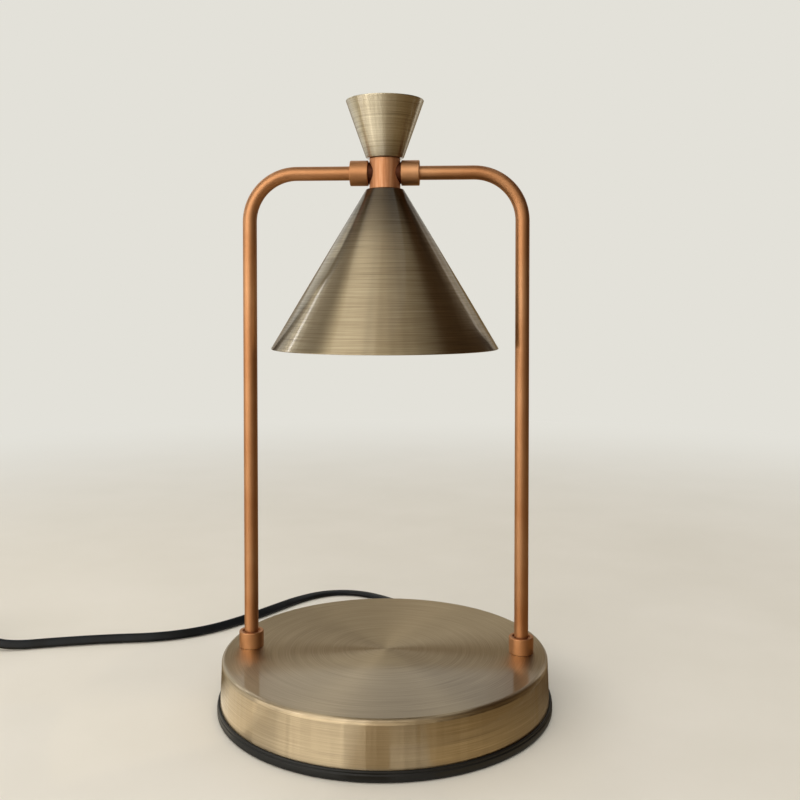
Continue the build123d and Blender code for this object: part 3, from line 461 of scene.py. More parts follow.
# %% Pressed clear glass, and a finish on every measured part
GLASS_WAVE_MM, GLASS_DEEP_MM = 4, 0.1
glass, glass_tree, glass_shader = blank("pressed_clear_glass", transmission_weight=1.0, ior=1.5, roughness=0.03)
glass_shader.inputs["Base Color"].default_value = linear("#f4f6f5")
glass_place = add(glass_tree, "TexCoord").outputs["Object"]
glass_wave = add(glass_tree, "TexNoise", {"Scale": 1 / (GLASS_WAVE_MM * MM)}, {"Vector": glass_place})
glass_bump = add(glass_tree, "Bump", {"Strength": 0.3, "Distance": GLASS_DEEP_MM * MM},
                 {"Height": glass_wave.outputs[0]})
feed(glass_tree, glass_shader, {"Normal": glass_bump.outputs[0]})
finishes["clear_glass"] = glass

for subpart in frame["record"]["subparts"]:
    node = frame["nodes"][subpart["node"]]
    node.data.materials.clear()
    node.data.materials.append(finishes[subpart["material_slot"]])
# The pivot saddles take the dark copper of painted shade
for word in ("left", "right"):
    frame["nodes"][f"pivot_spacer_{word}"].data.materials[0] = shaded_copper_saddle
print(len(finishes), "finishes on", len(frame["nodes"]), "measured parts")

# %% [markdown]
# The base
#
# A spun steel pan: flat top, a tight rolled edge, a skirt that drafts out by a millimetre, and a rubber ring
# under it. A bevelled cylinder comes close, but it would be solid. A closed outline spun about Z gives
# both the outside and the hollow inside, and the ring's groove as well.

# %% Base pan and rubber ring
BASE_TOP, BASE_ROOF, PAN_EDGE, PAN_EDGE_INSIDE = 26.0, 25.0, 1.8, 0.9
SKIRT_TOP, SKIRT_FOOT, SKIRT_LOW, SKIRT_WALL, SKIRT_EDGE = 81.0, 82.0, 2.05, 1.0, 0.3
base_pan = turned("base_pan", [
    (0, BASE_TOP, 0), (SKIRT_TOP, BASE_TOP, PAN_EDGE), (SKIRT_FOOT, SKIRT_LOW, SKIRT_EDGE),
    (SKIRT_FOOT - SKIRT_WALL, SKIRT_LOW, SKIRT_EDGE), (SKIRT_TOP - SKIRT_WALL, BASE_ROOF, PAN_EDGE_INSIDE),
    (0, BASE_ROOF, 0),
], columns=256, arc_steps=9)
wear(base_pan, "stand", "bronze", bronze_base, "base_shell")

RING_BORE, RING_RIM, RING_LIP, RING_SEAT = 75.0, 83.4, 83.0, 82.1
RING_WEB, RING_TOP = 2.0, 5.0
RING_GROOVE = [(RING_RIM, 3.2, 0.5), (82.9, 3.7, 0.3), (83.2, 4.2, 0.3)]
foot_ring = turned("foot_ring", [
    (RING_BORE, 0, 0.3), (RING_RIM, 0, 0.9), *RING_GROOVE, (RING_LIP, RING_TOP, 0.5),
    (RING_SEAT, RING_TOP, 0.2), (RING_SEAT, RING_WEB, 0.1), (RING_BORE, RING_WEB, 0.3),
], columns=256)
wear(foot_ring, "stand", "black_rubber", finishes["black_rubber"], "rubber_foot_ring")

# %% [markdown]
# Legs, arms and collars
#
# Each leg and its arm are one 7 mm tube, bent once. A bevelled curve would do, but its rings crowd in the bend.
# So the line is worked out, straight, then a quarter circle, then straight, and a round section is carried
# along it. Collars cover both ends: a cup that the leg stands in, and a sleeve with a turned edge where the
# arm meets the pivot.

# %% Bent tube frame
LEG_X, ARM_Z, BEND, TUBE = 68.2, 265.0, 24.0, 3.5
LEG_FOOT, ARM_END, BEND_GUARD = 12.5, 12.7, 0.5
TUBE_SIDES, LEG_STEPS, BEND_STEPS, ARM_STEPS = 32, 40, 25, 12
SIDES = (("left", -1), ("right", 1))
ring_angle = np.linspace(0, TURN, TUBE_SIDES + 1)[:-1]
round_section = TUBE * np.stack([np.cos(ring_angle), np.sin(ring_angle)], -1)


def bent_tube(side):
    """Up the leg, round a quarter circle about (LEG_X - BEND, ARM_Z - BEND), and in along the arm."""
    turn = np.linspace(0, math.pi / 2, BEND_STEPS)
    rise = np.linspace(LEG_FOOT, ARM_Z - BEND - BEND_GUARD, LEG_STEPS)
    reach = np.linspace(LEG_X - BEND - BEND_GUARD, ARM_END, ARM_STEPS)
    x = np.concatenate([np.full(len(rise), LEG_X), LEG_X - BEND + BEND * np.cos(turn), reach])
    z = np.concatenate([rise, ARM_Z - BEND + BEND * np.sin(turn), np.full(len(reach), ARM_Z)])
    lean = np.concatenate([np.zeros(len(rise)), turn, np.full(len(reach), math.pi / 2)])
    zero = np.zeros_like(x)
    line = np.stack([side * x, zero, z], -1)
    across = np.stack([side * np.cos(lean), zero, np.sin(lean)], -1)
    return line, across, np.stack([zero, zero + 1, zero], -1)


for word, side in SIDES:
    wear(swept(f"leg_{word}", *bent_tube(side), round_section), "stand", "copper", copper, f"frame_tube_{word}")

# %% Collars at both ends of the tubes
TUBE_FIT, PARTING = 3.53, 0.02
CUP_RADIUS, CUP_MOUTH, CUP_TOP, CUP_STEP = 6.15, 4.4, 34.0, 33.0
SLEEVE_RADIUS, SLEEVE_BORE = 6.3, 2.55
SLEEVE_NEAR, SLEEVE_STEP, SLEEVE_FAR = 8.25, 10.2, 17.25
cup_low = BASE_TOP + PARTING
cup = [(TUBE_FIT, cup_low, 0.1), (CUP_RADIUS, cup_low, 0.15), (CUP_RADIUS, CUP_TOP, 0.45),
       (CUP_MOUTH, CUP_TOP, 0.3), (CUP_MOUTH, CUP_STEP, 0.1), (TUBE_FIT, CUP_STEP, 0.1)]
sleeve = [(SLEEVE_BORE, SLEEVE_NEAR, 0.1), (SLEEVE_RADIUS, SLEEVE_NEAR, 0.35),
          (SLEEVE_RADIUS, SLEEVE_FAR, 0.35), (TUBE_FIT, SLEEVE_FAR, 0.2), (TUBE_FIT, SLEEVE_STEP, 0.1),
          (SLEEVE_BORE, SLEEVE_STEP, 0.1)]
for word, side in SIDES:
    foot_cup = turned(f"foot_cup_{word}", cup, columns=72, centre=(side * LEG_X, 0, 0))
    wear(foot_cup, "stand", "copper", copper, f"foot_collar_{word}")
    arm_sleeve = turned(f"arm_sleeve_{word}", [(radius, side * x, rounding) for radius, x, rounding in sleeve],
                        columns=72, axis="X", centre=(0, 0, ARM_Z))
    wear(arm_sleeve, "stand", "copper", copper, f"arm_collar_{word}")

# %% [markdown]
# The head
#
# A copper neck, a cone shade below it and a short flaring cone above it. The shade is a spun cone about a
# millimetre thick. A cone with a Solidify modifier would do, but here the outline goes down the outside, round
# the rim and back up the inside, so the rim and the shoulder get their own rounding.

# %% Neck, shade and top cone
NECK_LOW, NECK_HIGH, MOUTH, CROWN = 257.0, 272.3, 177.7, 300.8
STEM_HOLE, NECK_RADIUS, CONE_END, ROOF = 4.03, 7.7, 9.3, 1.0
MOUTH_OUTSIDE, MOUTH_INSIDE, SHADE_END_INSIDE = 56.8, 55.75, 8.2
CROWN_OUTSIDE, CROWN_INSIDE, FLARE_END_INSIDE = 19.5, 18.5, 8.4
neck_foot, neck_head = NECK_LOW + PARTING, NECK_HIGH - PARTING
neck = turned("neck", [
    (STEM_HOLE, neck_foot, 0.1), (NECK_RADIUS, neck_foot, 0.35), (NECK_RADIUS, neck_head, 0.35),
    (STEM_HOLE, neck_head, 0.1),
], columns=96)
wear(neck, "head", "copper", copper_neck, "neck_block")
shade_cone = turned("shade_cone", [
    (STEM_HOLE, NECK_LOW, 0.1), (CONE_END, NECK_LOW, 0.9), (MOUTH_OUTSIDE, MOUTH, 0.25),
    (MOUTH_INSIDE, MOUTH, 0.25), (SHADE_END_INSIDE, NECK_LOW - ROOF, 0.3), (STEM_HOLE, NECK_LOW - ROOF, 0.1),
], columns=256)
wear(shade_cone, "head", "bronze", bronze_shade, "shade")
flare = turned("top_flare", [
    (STEM_HOLE, NECK_HIGH, 0.1), (CONE_END, NECK_HIGH, 0.5), (CROWN_OUTSIDE, CROWN, 0.3),
    (CROWN_INSIDE, CROWN, 0.3), (FLARE_END_INSIDE, NECK_HIGH + ROOF, 0.3), (STEM_HOLE, NECK_HIGH + ROOF, 0.1),
], columns=192)
wear(flare, "head", "bronze", bronze_cone, "top_cone")

CAP_HIGH, CAP_LOW, CAP_RADIUS, CAP_UNDERSIDE = CROWN - 0.8, CROWN - 1.8, 18.0, 17.7
cap = turned("top_cap_disc", [
    (0, CAP_HIGH, 0), (CAP_RADIUS, CAP_HIGH, 0.25), (CAP_UNDERSIDE, CAP_LOW, 0.2), (0, CAP_LOW, 0),
], columns=128, spacing=1.0)
# The cap takes the base's bronze, whose painted shade is full at this height, so it shows darker
wear(cap, "head", "bronze", bronze_base, "top_cap")

# %% [markdown]
# The bulb
#
# A reflector bulb with a glass front sits in the shade, and shows when the head is tilted. Its bowl is pressed
# glass with a mirror of small facets, which scatter the light evenly. Facets could be a bump in the finish, but
# they are large enough to be real: the outline is an arc through three points, and each facet is a shallow
# pillow on the inner side.

# %% Faceted bulb reflector
bowl_low, bowl_high = (corner[2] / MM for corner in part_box("bulb_reflector"))
BOWL_RIM, BOWL_NECK, BOWL_GLASS, BOWL_LIP, BOWL_EDGE, BOWL_BULGE = 24.6, 9.0, 1.2, 3.5, 0.3, 0.12
FACETS_ROUND, FACET_RINGS, FACET_DEPTH = 36, 9, 0.3
FACET_COLUMNS, INSIDE_ROWS, OUTSIDE_ROWS = 10, 91, 40


def bowl_arc(inset, count):
    """An arc from the neck to the rim: the curve with ends p and r whose middle is q is p (1 - t)^2 +
    (4 q - p - r) / 2 * 2 t (1 - t) + r t^2, close to a circle's arc."""
    top, rim, low = BOWL_NECK - inset, BOWL_RIM - inset, bowl_low + BOWL_LIP
    first, last = np.array((top, bowl_high)), np.array((rim, low))
    middle = np.array(((top + rim) / 2 + (rim - top) * BOWL_BULGE, (bowl_high + low) / 2))
    t = np.linspace(0, 1, count)[:, None]
    pull = 2 * middle - (first + last) / 2
    return first * (1 - t) ** 2 + 2 * pull * t * (1 - t) + last * t**2


bowl = np.concatenate([
    bowl_arc(0, OUTSIDE_ROWS), [(BOWL_RIM, bowl_low + BOWL_EDGE), (BOWL_RIM - BOWL_EDGE, bowl_low)],
    [(BOWL_RIM - BOWL_GLASS, bowl_low)], bowl_arc(BOWL_GLASS, INSIDE_ROWS)[::-1],
])
bowl_angle = np.linspace(0, TURN, FACETS_ROUND * FACET_COLUMNS + 1)
pillow_rings = np.abs(np.sin(np.linspace(0, FACET_RINGS * math.pi, INSIDE_ROWS)))[::-1, None]
pillow_round = np.abs(np.sin(FACETS_ROUND / 2 * bowl_angle[:-1]))
bowl_radius = np.repeat(bowl[:, :1], len(pillow_round), 1)
bowl_radius[-INSIDE_ROWS:] -= FACET_DEPTH * pillow_rings * pillow_round
bowl_points = np.stack([bowl_radius * np.cos(bowl_angle[:-1]), bowl_radius * np.sin(bowl_angle[:-1]),
                        np.repeat(bowl[:, 1:], len(pillow_round), 1)], -1)
reflector = skin("faceted_reflector", bowl_points * MM, bowl_angle * BOWL_RIM * MM,
                 distances(rejoined(bowl)) * MM, loop_rows=True)
wear(reflector, "head", "reflector", finishes["reflector"], "bulb_reflector")

# %% [markdown]
# The supply cord
#
# A flat two-core cord, 5.2 by 3 mm and about 1.65 m long. It comes straight out of the bushing, sinks to the
# table, swings behind the base and runs out to the left, where it rolls on to its edge. The route's points
# are those of the measured cord. A bevelled curve would stay round, so a NURBS spline only makes the points one
# smooth line, and a flat section is carried along the points read from that spline. What the photograph doesn't
# show is a dimmer, a tied coil and a plug.

# %% The route of the cord
CORD_WIDE, CORD_THICK = 5.2, 3.0
route = np.array([
    (0, 106, 12), (0, 118, 12), (-1, 131, 8), (-5.5, 144, 3.8), (-15, 156.5, 2.6), (-28, 164.5, 2.6),
    (-42.5, 167, 2.6), (-57.5, 161.5, 2.6), (-71.5, 145.5, 2.6), (-84, 124.5, 2.6), (-99, 102, 2.6),
    (-116, 84, 2.6), (-139, 72, 2.6), (-169, 67.5, 2.6), (-198, 60, 2.6), (-220, 53, 2.6), (-234, 53, 5),
    (-246, 54, 8), (-256, 54, 8),
], float)
print("the route has", len(route), "points over", round(distances(route)[-1]), "mm")


# %% A smooth line and a flat section
def smooth(t):
    """Zero below 0, one above 1, and 3 t^2 - 2 t^3 between."""
    t = np.clip(t, 0, 1)
    return t * t * (3 - 2 * t)


def unit(ways):
    """Directions at length one."""
    return ways / np.linalg.norm(ways, axis=1)[:, None]


def half_height(roll):
    """How far a superellipse of power 3 reaches up and down when it is rolled: the two thirds power of
    (a sin)^1.5 + (b cos)^1.5, where a and b are its half width and half thickness."""
    wide, thick = CORD_WIDE / 2 * np.abs(np.sin(roll)), CORD_THICK / 2 * np.abs(np.cos(roll))
    return (wide**1.5 + thick**1.5) ** (2 / 3)


def along_spline(name, points, resolution):
    """Points of a NURBS spline of order 3 over its control points, in millimetres."""
    data = bpy.data.curves.new(name, "CURVE")
    data.dimensions = "3D"
    spline = data.splines.new("NURBS")
    spline.points.add(len(points) - 1)
    homogeneous = np.concatenate([points * MM, np.ones((len(points), 1))], 1)
    spline.points.foreach_set("co", homogeneous.reshape(-1))
    spline.order_u = 3
    spline.use_endpoint_u = True
    spline.resolution_u = resolution
    holder = bpy.data.objects.new(name, data)
    bpy.context.collection.objects.link(holder)
    bpy.context.view_layer.update()
    mesh = bpy.data.meshes.new_from_object(holder)
    line = np.empty(len(mesh.vertices) * 3)
    mesh.vertices.foreach_get("co", line)
    bpy.data.objects.remove(holder)
    bpy.data.curves.remove(data)
    bpy.data.meshes.remove(mesh)
    return line.reshape(-1, 3) / MM


def flat_cord(name, line, roll, section_points=24):
    """The flat section, carried along a line and rolled about it. It is a superellipse of power 3: half the
    width times cos a to the two thirds, and half the thickness times sin a to the two thirds, with their
    signs."""
    a = np.linspace(0, TURN, section_points + 1)[:-1]
    cos, sin = np.cos(a), np.sin(a)
    section = np.stack([CORD_WIDE / 2 * np.sign(cos) * np.abs(cos) ** (2 / 3),
                        CORD_THICK / 2 * np.sign(sin) * np.abs(sin) ** (2 / 3)], -1)
    ahead = unit(np.gradient(line, axis=0))
    side = unit(np.cross(ahead, (0, 0, 1.0)))
    rise = np.cross(side, ahead)
    c, s = np.cos(roll)[:, None], np.sin(roll)[:, None]
    return swept(name, line, side * c + rise * s, rise * c - side * s, section)


# %% The cord to the dimmer
EDGE_ROLL, ROLL_FROM, ROLL_RUN = math.radians(62), 0.22, 0.3
SINK_FROM, SINK_RUN, LYING_BELOW = 0.06, 0.08, 4.0


def supply_roll(line):
    """How far the cord is rolled: not at all up to the share ROLL_FROM of its length, then smoothly to
    EDGE_ROLL over the share ROLL_RUN."""
    run = distances(line)
    return EDGE_ROLL * smooth((run / run[-1] - ROLL_FROM) / ROLL_RUN)


route_share = distances(route) / distances(route)[-1]
sink = CORD_WIDE / 2 - half_height(supply_roll(route))
resting = route.copy()
resting[:, 2] -= sink * smooth((route_share - SINK_FROM) / SINK_RUN) * (route[:, 2] < LYING_BELOW)
supply_line = along_spline("supply_line", resting, resolution=10)
supply = flat_cord("flat_cord", supply_line, supply_roll(supply_line))
wear(supply, "stand", "black_cord", finishes["black_cord"], "supply_cord")

# %% [markdown]
# The put-away coil
#
# The rest of the cord is wound as a shopkeeper ties it: three turns in, up on to a second layer, three turns
# out, and off to the plug. The cord stands on its edge, as a flat cord does when it is wound. A stack of rings
# would look the same from afar, but it would be no cord: this is one line from the dimmer to the plug.

# %% Coil and plug end
CASE_Y = 54.0
COIL_X, COIL_TURNS, COIL_PITCH, COIL_OUT = -346.0, 3, 3.6, 36.4
COIL_Y, COIL_LOW, COIL_STEP, COIL_DIP = CASE_Y - COIL_OUT, 3.6, 5.4, 1.0
COIL_ROLL, ROLL_IN, ROLL_OUT = math.radians(84), 45.0, 40.0
STEPS_A_TURN, LEAVING = 26, 0.9 * math.pi
PLUG_X, PLUG_Y, PLUG_Z = -332.0, -25.7, 9.5
wound = TURN * COIL_TURNS
winding = np.linspace(0, 2 * wound + math.pi, STEPS_A_TURN * 2 * COIL_TURNS + STEPS_A_TURN // 2 + 1)
climb = np.clip(winding - wound, 0, math.pi)
leaving = smooth((winding - winding[-1]) / LEAVING + 1)
wound_in, wound_out = np.minimum(winding, wound), np.clip(winding - wound - math.pi, 0, wound)
coil_radius = COIL_OUT + COIL_PITCH * (wound_out - wound_in) / TURN - COIL_DIP * np.sin(climb)
coil_radius += (COIL_Y - COIL_OUT - PLUG_Y) * leaving
coil_angle = math.pi / 2 + winding
coil_height = COIL_LOW + COIL_STEP * (1 - np.cos(climb)) / 2 + (PLUG_Z - COIL_LOW - COIL_STEP) * leaving
coil = np.stack([COIL_X + coil_radius * np.cos(coil_angle), COIL_Y + coil_radius * np.sin(coil_angle),
                 coil_height], -1)
lead_in = np.array([(-308, CASE_Y, 8), (-316, CASE_Y, 8), (-325, CASE_Y, 6.2), (-336, CASE_Y, 4.0)])
lead_out = np.array([(x, PLUG_Y, PLUG_Z) for x in (PLUG_X - 7, PLUG_X, PLUG_X + 4)])
coil_line = along_spline("coil_line", np.concatenate([lead_in, coil, lead_out]), resolution=4)
coil_run = distances(coil_line)
coil_roll = COIL_ROLL * smooth(coil_run / ROLL_IN) * smooth((coil_run[-1] - coil_run) / ROLL_OUT)
coil_cord = flat_cord("coiled_cord", coil_line, coil_roll)
wear(coil_cord, "stand", "black_cord", finishes["black_cord"], "cord_coil")

# %% [markdown]
# The coil's tie
#
# A nylon strap holds the turns together. A squashed torus would do, but its band would swell at the corners.
# So it is a thin flat section carried along a closed loop, a rounded rectangle that stands round the wound
# cord with a little room.

# %% Nylon tie
TIE_THICK, TIE_WIDE, TIE_ROOM, TIE_BEND, TIE_EDGE, TIE_LIFT = 0.8, 7.0, 0.45, 1.6, 0.3, 0.05


def rectangle(left, right, low, high, rounding):
    """The four corners of a rectangle, for outline_of."""
    return [(left, low, rounding), (right, low, rounding), (right, high, rounding), (left, high, rounding)]


tie_inner = COIL_OUT - COIL_PITCH * COIL_TURNS - COIL_DIP - CORD_THICK / 2 - TIE_ROOM
tie_outer = COIL_OUT + CORD_THICK / 2 + TIE_ROOM
tie_low, tie_high = TIE_THICK / 2 + TIE_LIFT, COIL_LOW + COIL_STEP + CORD_WIDE / 2 + TIE_ROOM
tie_loop = outline_of(rectangle(tie_inner, tie_outer, tie_low, tie_high, TIE_BEND), spacing=1.5)
tie_line = np.stack([COIL_X - tie_loop[:, 0], np.full(len(tie_loop), COIL_Y), tie_loop[:, 1]], -1)
tie_ahead = unit(np.roll(tie_line, -1, 0) - np.roll(tie_line, 1, 0))
tie_side = np.tile((0.0, 1.0, 0.0), (len(tie_line), 1))
tie_section = outline_of(rectangle(-TIE_WIDE / 2, TIE_WIDE / 2, -TIE_THICK / 2, TIE_THICK / 2, TIE_EDGE),
                         arc_steps=3, spacing=2)
tie = swept("coil_strap", tie_line, tie_side, np.cross(tie_ahead, tie_side), tie_section, closed=True)
wear(tie, "stand", "black_nylon", finishes["black_nylon"], "coil_tie")

# %% [markdown]
# The bushing
#
# Where the cord leaves the base it comes through a ribbed rubber bushing that keeps it from kinking. It tapers
# from the skirt to its tip, with six grooves round it. Six rings cut out with booleans would leave rough edges,
# so its outline is a taper with a ripple.

# %% Ribbed bushing
BUSHING_Z, BUSHING_BORE, BUSHING_RADIUS, BUSHING_WAIST, BUSHING_TIP = 12.0, 2.66, 5.8, 4.3, 3.2
BUSHING_TAPER, BUSHING_ROWS, BUSHING_GROOVES, BUSHING_GROOVE_DEPTH = 2.3, 60, 6, 0.45
INNER_END, INNER_FLANGE, SKIRT_INSIDE, SKIRT_OUTSIDE = 77.2, 79.8, 79.9, 82.2
TAPER_START, TAPER_END, BUSHING_END = 84.5, 105.6, 106.0


def crests(t):
    """Narrow crests halfway between whole numbers: the square of 0.5 - 0.5 cos(2 pi t)."""
    return (0.5 - 0.5 * np.cos(t * TURN)) ** 2


bushing_y = np.linspace(TAPER_START, TAPER_END, BUSHING_ROWS)
taper = (bushing_y - TAPER_START) / (TAPER_END - TAPER_START)
bushing_radius = BUSHING_RADIUS - BUSHING_TAPER * taper - BUSHING_GROOVE_DEPTH * crests(taper * BUSHING_GROOVES)
bushing = turned("ribbed_bushing", [
    (BUSHING_BORE, INNER_END, 0), (BUSHING_RADIUS, INNER_END, 0.2), (BUSHING_RADIUS, INNER_FLANGE, 0.2),
    (BUSHING_WAIST, SKIRT_INSIDE, 0.1), (BUSHING_WAIST, SKIRT_OUTSIDE, 0.1),
    (BUSHING_RADIUS, SKIRT_OUTSIDE, 0.5), *((radius, y, 0) for radius, y in zip(bushing_radius, bushing_y)),
    (BUSHING_TIP, BUSHING_END, 0), (BUSHING_BORE, BUSHING_END, 0),
], columns=64, axis="Y", centre=(0, 0, BUSHING_Z))
wear(bushing, "stand", "black_cord", finishes["black_cord"], "cord_bushing")

# %% [markdown]
# The dimmer
#
# The lamp is switched and dimmed on the cord, by a moulded box with a thumb wheel. Its lower half is the
# measured part. The upper half could be a box with bevels and a cut, but one surface of rounded rectangles has
# cleaner edges: they start in the wheel's slot, run up and out over a shallow dish and a crowned top, round the
# edge, down to the groove of the seam and back inside.


# %% Rounded rectangles
def rounded_loop(half_a, half_b, corner, arc_steps=7, guard=0.4, most=0.45):
    """A rounded rectangle with one quarter circle in each corner: point a of corner k is the corner's centre
    plus its radius times (cos a, sin a). A guard point before and after each arc keeps the sides flat."""
    quarter = np.linspace(0, math.pi / 2, arc_steps)
    slack = min(guard, most * (half_a - corner), most * (half_b - corner))
    loops = []
    for k, signs in enumerate(((1, 1), (-1, 1), (-1, -1), (1, -1))):
        angle = quarter + k * math.pi / 2
        spot = np.stack([np.cos(angle), np.sin(angle)], -1)
        way = np.stack([-np.sin(angle), np.cos(angle)], -1)
        arc = np.array(signs) * (half_a - corner, half_b - corner) + corner * spot
        loops.append(np.concatenate([arc[:1] - slack * way[:1], arc, arc[-1:] + slack * way[-1:]]))
    return np.concatenate(loops)


def stacked(name, rows, axis, loop_rows=False):
    """A surface through rounded rectangles. Each row is (centre a, centre b, half a, half b, corner, height),
    in millimetres, and the axis that the heights run along is X or Z. UV counts 2 mm a column and 1 mm
    a row."""
    rings = []
    for a, b, half_a, half_b, corner, height in rows:
        loop = rounded_loop(half_a, half_b, corner) + (a, b)
        level = np.full((len(loop), 1), height)
        rings.append(np.hstack([loop, level] if axis == "Z" else [level, loop]))
    rings = np.array(rings)
    around = np.arange(rings.shape[1] + 1) * 2 * MM
    return skin(name, rings * MM, around, np.arange(len(rings) + 1) * MM, loop_rows)


# %% Upper shell of the dimmer
CASE_X, CASE_A, CASE_B, CASE_CORNER, CORNER_SHARE = -282.0, 30.0, 14.0, 6.0, 0.6
CASE_TOP, CASE_CEILING, CASE_SPLIT, CASE_WALL, CASE_EDGE = 20.0, 18.0, 8.0, 1.8, 2.2
SLOT_X, SLOT_A, SLOT_B, SLOT_CORNER, DISH_EDGE = -294.0, 9.2, 3.6, 0.8, 3.4
CROWN_INSET, CROWN_DIP, CROWN_SHARES, EDGE_STEPS, SEAM_GAP = 0.3, 0.02, (0.3, 0.7, 1.0), 7, 0.05
DISH = ((0, 18.2), (0, 18.9), (0.1, 19.15), (0.35, 19.3), (2.0, 19.3), (2.5, 19.4), (2.9, 19.75), (3.2, 19.95),
        (DISH_EDGE, CASE_TOP))  # how far the slot has grown, and the height
SIDE_HEIGHTS = (17.4, 13.0, 9.0, CASE_SPLIT + 0.75)
SEAM = ((0.15, 0.6), (0.55, 0.45), (0.6, SEAM_GAP), (CASE_WALL, SEAM_GAP))  # inset, height over the split


def slot_row(grow, height):
    """The wheel's slot, grown outwards."""
    return (SLOT_X, CASE_Y, SLOT_A + grow, SLOT_B + grow, SLOT_CORNER + grow, height)


def case_row(inset, height, share=1.0):
    """The case's outline, drawn inwards. A share below 1 lies between the dish's edge and that outline."""
    corner = CASE_CORNER - inset * CORNER_SHARE
    whole = np.array([CASE_X, CASE_Y, CASE_A - inset, CASE_B - inset, corner, height])
    return tuple(share * whole + (1 - share) * np.array(slot_row(DISH_EDGE, height)))


shell_rows = [slot_row(grow, height) for grow, height in DISH]
shell_rows += [case_row(CASE_EDGE + CROWN_INSET, CASE_TOP - CROWN_DIP * share, share) for share in CROWN_SHARES]
shell_rows += [case_row(CASE_EDGE * (1 - math.sin(a)), CASE_TOP - CASE_EDGE * (1 - math.cos(a)))
               for a in np.linspace(0, math.pi / 2, EDGE_STEPS)]
shell_rows += [case_row(0, z) for z in SIDE_HEIGHTS]
shell_rows += [case_row(inset, CASE_SPLIT + height) for inset, height in SEAM]
shell_rows += [case_row(CASE_WALL, CASE_CEILING)]
dimmer_shell = stacked("dimmer_shell", shell_rows, "Z", loop_rows=True)
wear(dimmer_shell, "stand", "black_plastic", finishes["black_plastic"], "dimmer_case_upper")

# %% [markdown]
# The dimmer's wedge and cord lips
#
# A raised wedge beside the wheel shows which way is brighter, and a soft lip seals the cord at each end of the
# box. Both could be part of the box's own mesh, but as pieces they keep their own plastic. The wedge is rounded
# rectangles again, stacked along X, and the lips are turned.

# %% Brighter wedge and cord lips
WEDGE_START, WEDGE_END, WEDGE_ROWS, WEDGE_SINK = -278.0, -263.0, 14, 0.1
WEDGE_RISE, WEDGE_TIP, WEDGE_SPREAD, WEDGE_SKIRT, WEDGE_THIN = 0.28, 0.25, 2.2, 0.05, 0.06
TIP_SHARE, BACK_SHARE = 0.12, 0.06
LIP_BORE, LIP_ROOT, LIP_RIM, LIP_IN, LIP_OUT = 2.7, 4.3, 4.1, 1.0, 1.3
wedge_floor = CASE_TOP - WEDGE_SINK
wedge_rows = [(CASE_Y, wedge_floor, 0.0, 0.0, 0.0, WEDGE_START)]
for share in np.linspace(0, 1, WEDGE_ROWS):
    height = WEDGE_RISE * math.sin(math.pi * min(share / TIP_SHARE, (1 - share) / BACK_SHARE, 0.5))
    wedge_rows.append((CASE_Y, wedge_floor + height / 2, WEDGE_TIP + WEDGE_SPREAD * share,
                       max(height / 2 + WEDGE_SKIRT, WEDGE_THIN), WEDGE_SKIRT,
                       WEDGE_START + (WEDGE_END - WEDGE_START) * share))
wedge_rows.append((CASE_Y, wedge_floor, 0.0, 0.0, 0.0, WEDGE_END))
wedge = stacked("brighter_wedge", wedge_rows, "X")
wear(wedge, "stand", "grey_plastic", finishes["grey_plastic"])

lips = []
for word, way in (("near", 1), ("far", -1)):
    root, rim = (CASE_X + way * (CASE_A + reach) for reach in (-LIP_IN, LIP_OUT))
    lip = turned(f"cord_lip_{word}", [
        (LIP_BORE, root, 0.1), (LIP_ROOT, root, 0.1), (LIP_RIM, rim, 0.5), (LIP_BORE, rim, 0.4),
    ], columns=48, axis="X", centre=(0, CASE_Y, CASE_SPLIT))
    lips.append(wear(lip, "stand", "black_cord", finishes["black_cord"]))

# %% [markdown]
# The plug
#
# A moulded two-blade plug: a tapered boot with grooves for the cord, shoulders, a waist with ridges for the
# fingers, and a flange before the blades. It could be modelled from a box, but each of these is a number that
# changes along the plug. So rounded rectangles are stacked along X, and their half sizes are sums of such
# numbers: the boot's are equal, so it is round.

# %% Moulded plug
HEAD_X, FACE_X, BOOT_ROWS, HEAD_ROWS = -318.0, -284.0, 57, 120
BOOT_TIP, BOOT_GROWS, BOOT_GROOVES, BOOT_GROOVE_DEPTH = 3.75, 1.15, 5, 0.42
PLUG_HALF_Y, PLUG_HALF_Z, PLUG_CORNER, SHOULDER_LONG = 11.9, 9.4, 3.4, 6.0
WAIST_AFTER, WAIST_LONG, FLANGE_LONG, FLANGE_RISE = 5.0, 6.0, 8.0, 5.0
WAIST_IN_Y, WAIST_IN_Z, RIDGE_HIGH, RIDGE_PITCH, FACE_ROUND, LEAST_FLAT = 1.9, 0.8, 0.7, 2.6, 1.2, 0.001
plug_x = np.concatenate([np.linspace(PLUG_X, HEAD_X, BOOT_ROWS), np.linspace(HEAD_X, FACE_X, HEAD_ROWS)[1:]])
boot = np.clip((plug_x - PLUG_X) / (HEAD_X - PLUG_X), 0, 1)
boot_radius = BOOT_TIP + BOOT_GROWS * boot - BOOT_GROOVE_DEPTH * crests(boot * BOOT_GROOVES) * (boot < 1)
shoulder = smooth((plug_x - HEAD_X) / SHOULDER_LONG)
waist = (smooth((plug_x - HEAD_X - WAIST_AFTER) / WAIST_LONG)
         * smooth((FACE_X - FLANGE_LONG - plug_x) / FLANGE_RISE))
ridges = waist * crests((plug_x - HEAD_X) / RIDGE_PITCH)
face_near = np.clip((plug_x - FACE_X + FACE_ROUND) / FACE_ROUND, 0, 1)
face_in = FACE_ROUND * (1 - np.sqrt(np.clip(1 - face_near**2, 0, 1)))
plug_half_y = (boot_radius + shoulder * (PLUG_HALF_Y - boot_radius) - WAIST_IN_Y * waist + RIDGE_HIGH * ridges
               - face_in)
plug_half_z = boot_radius + shoulder * (PLUG_HALF_Z - boot_radius) - WAIST_IN_Z * waist - face_in
plug_corner = np.minimum(boot_radius + shoulder * (PLUG_CORNER - boot_radius),
                         np.minimum(plug_half_y, plug_half_z) - LEAST_FLAT)
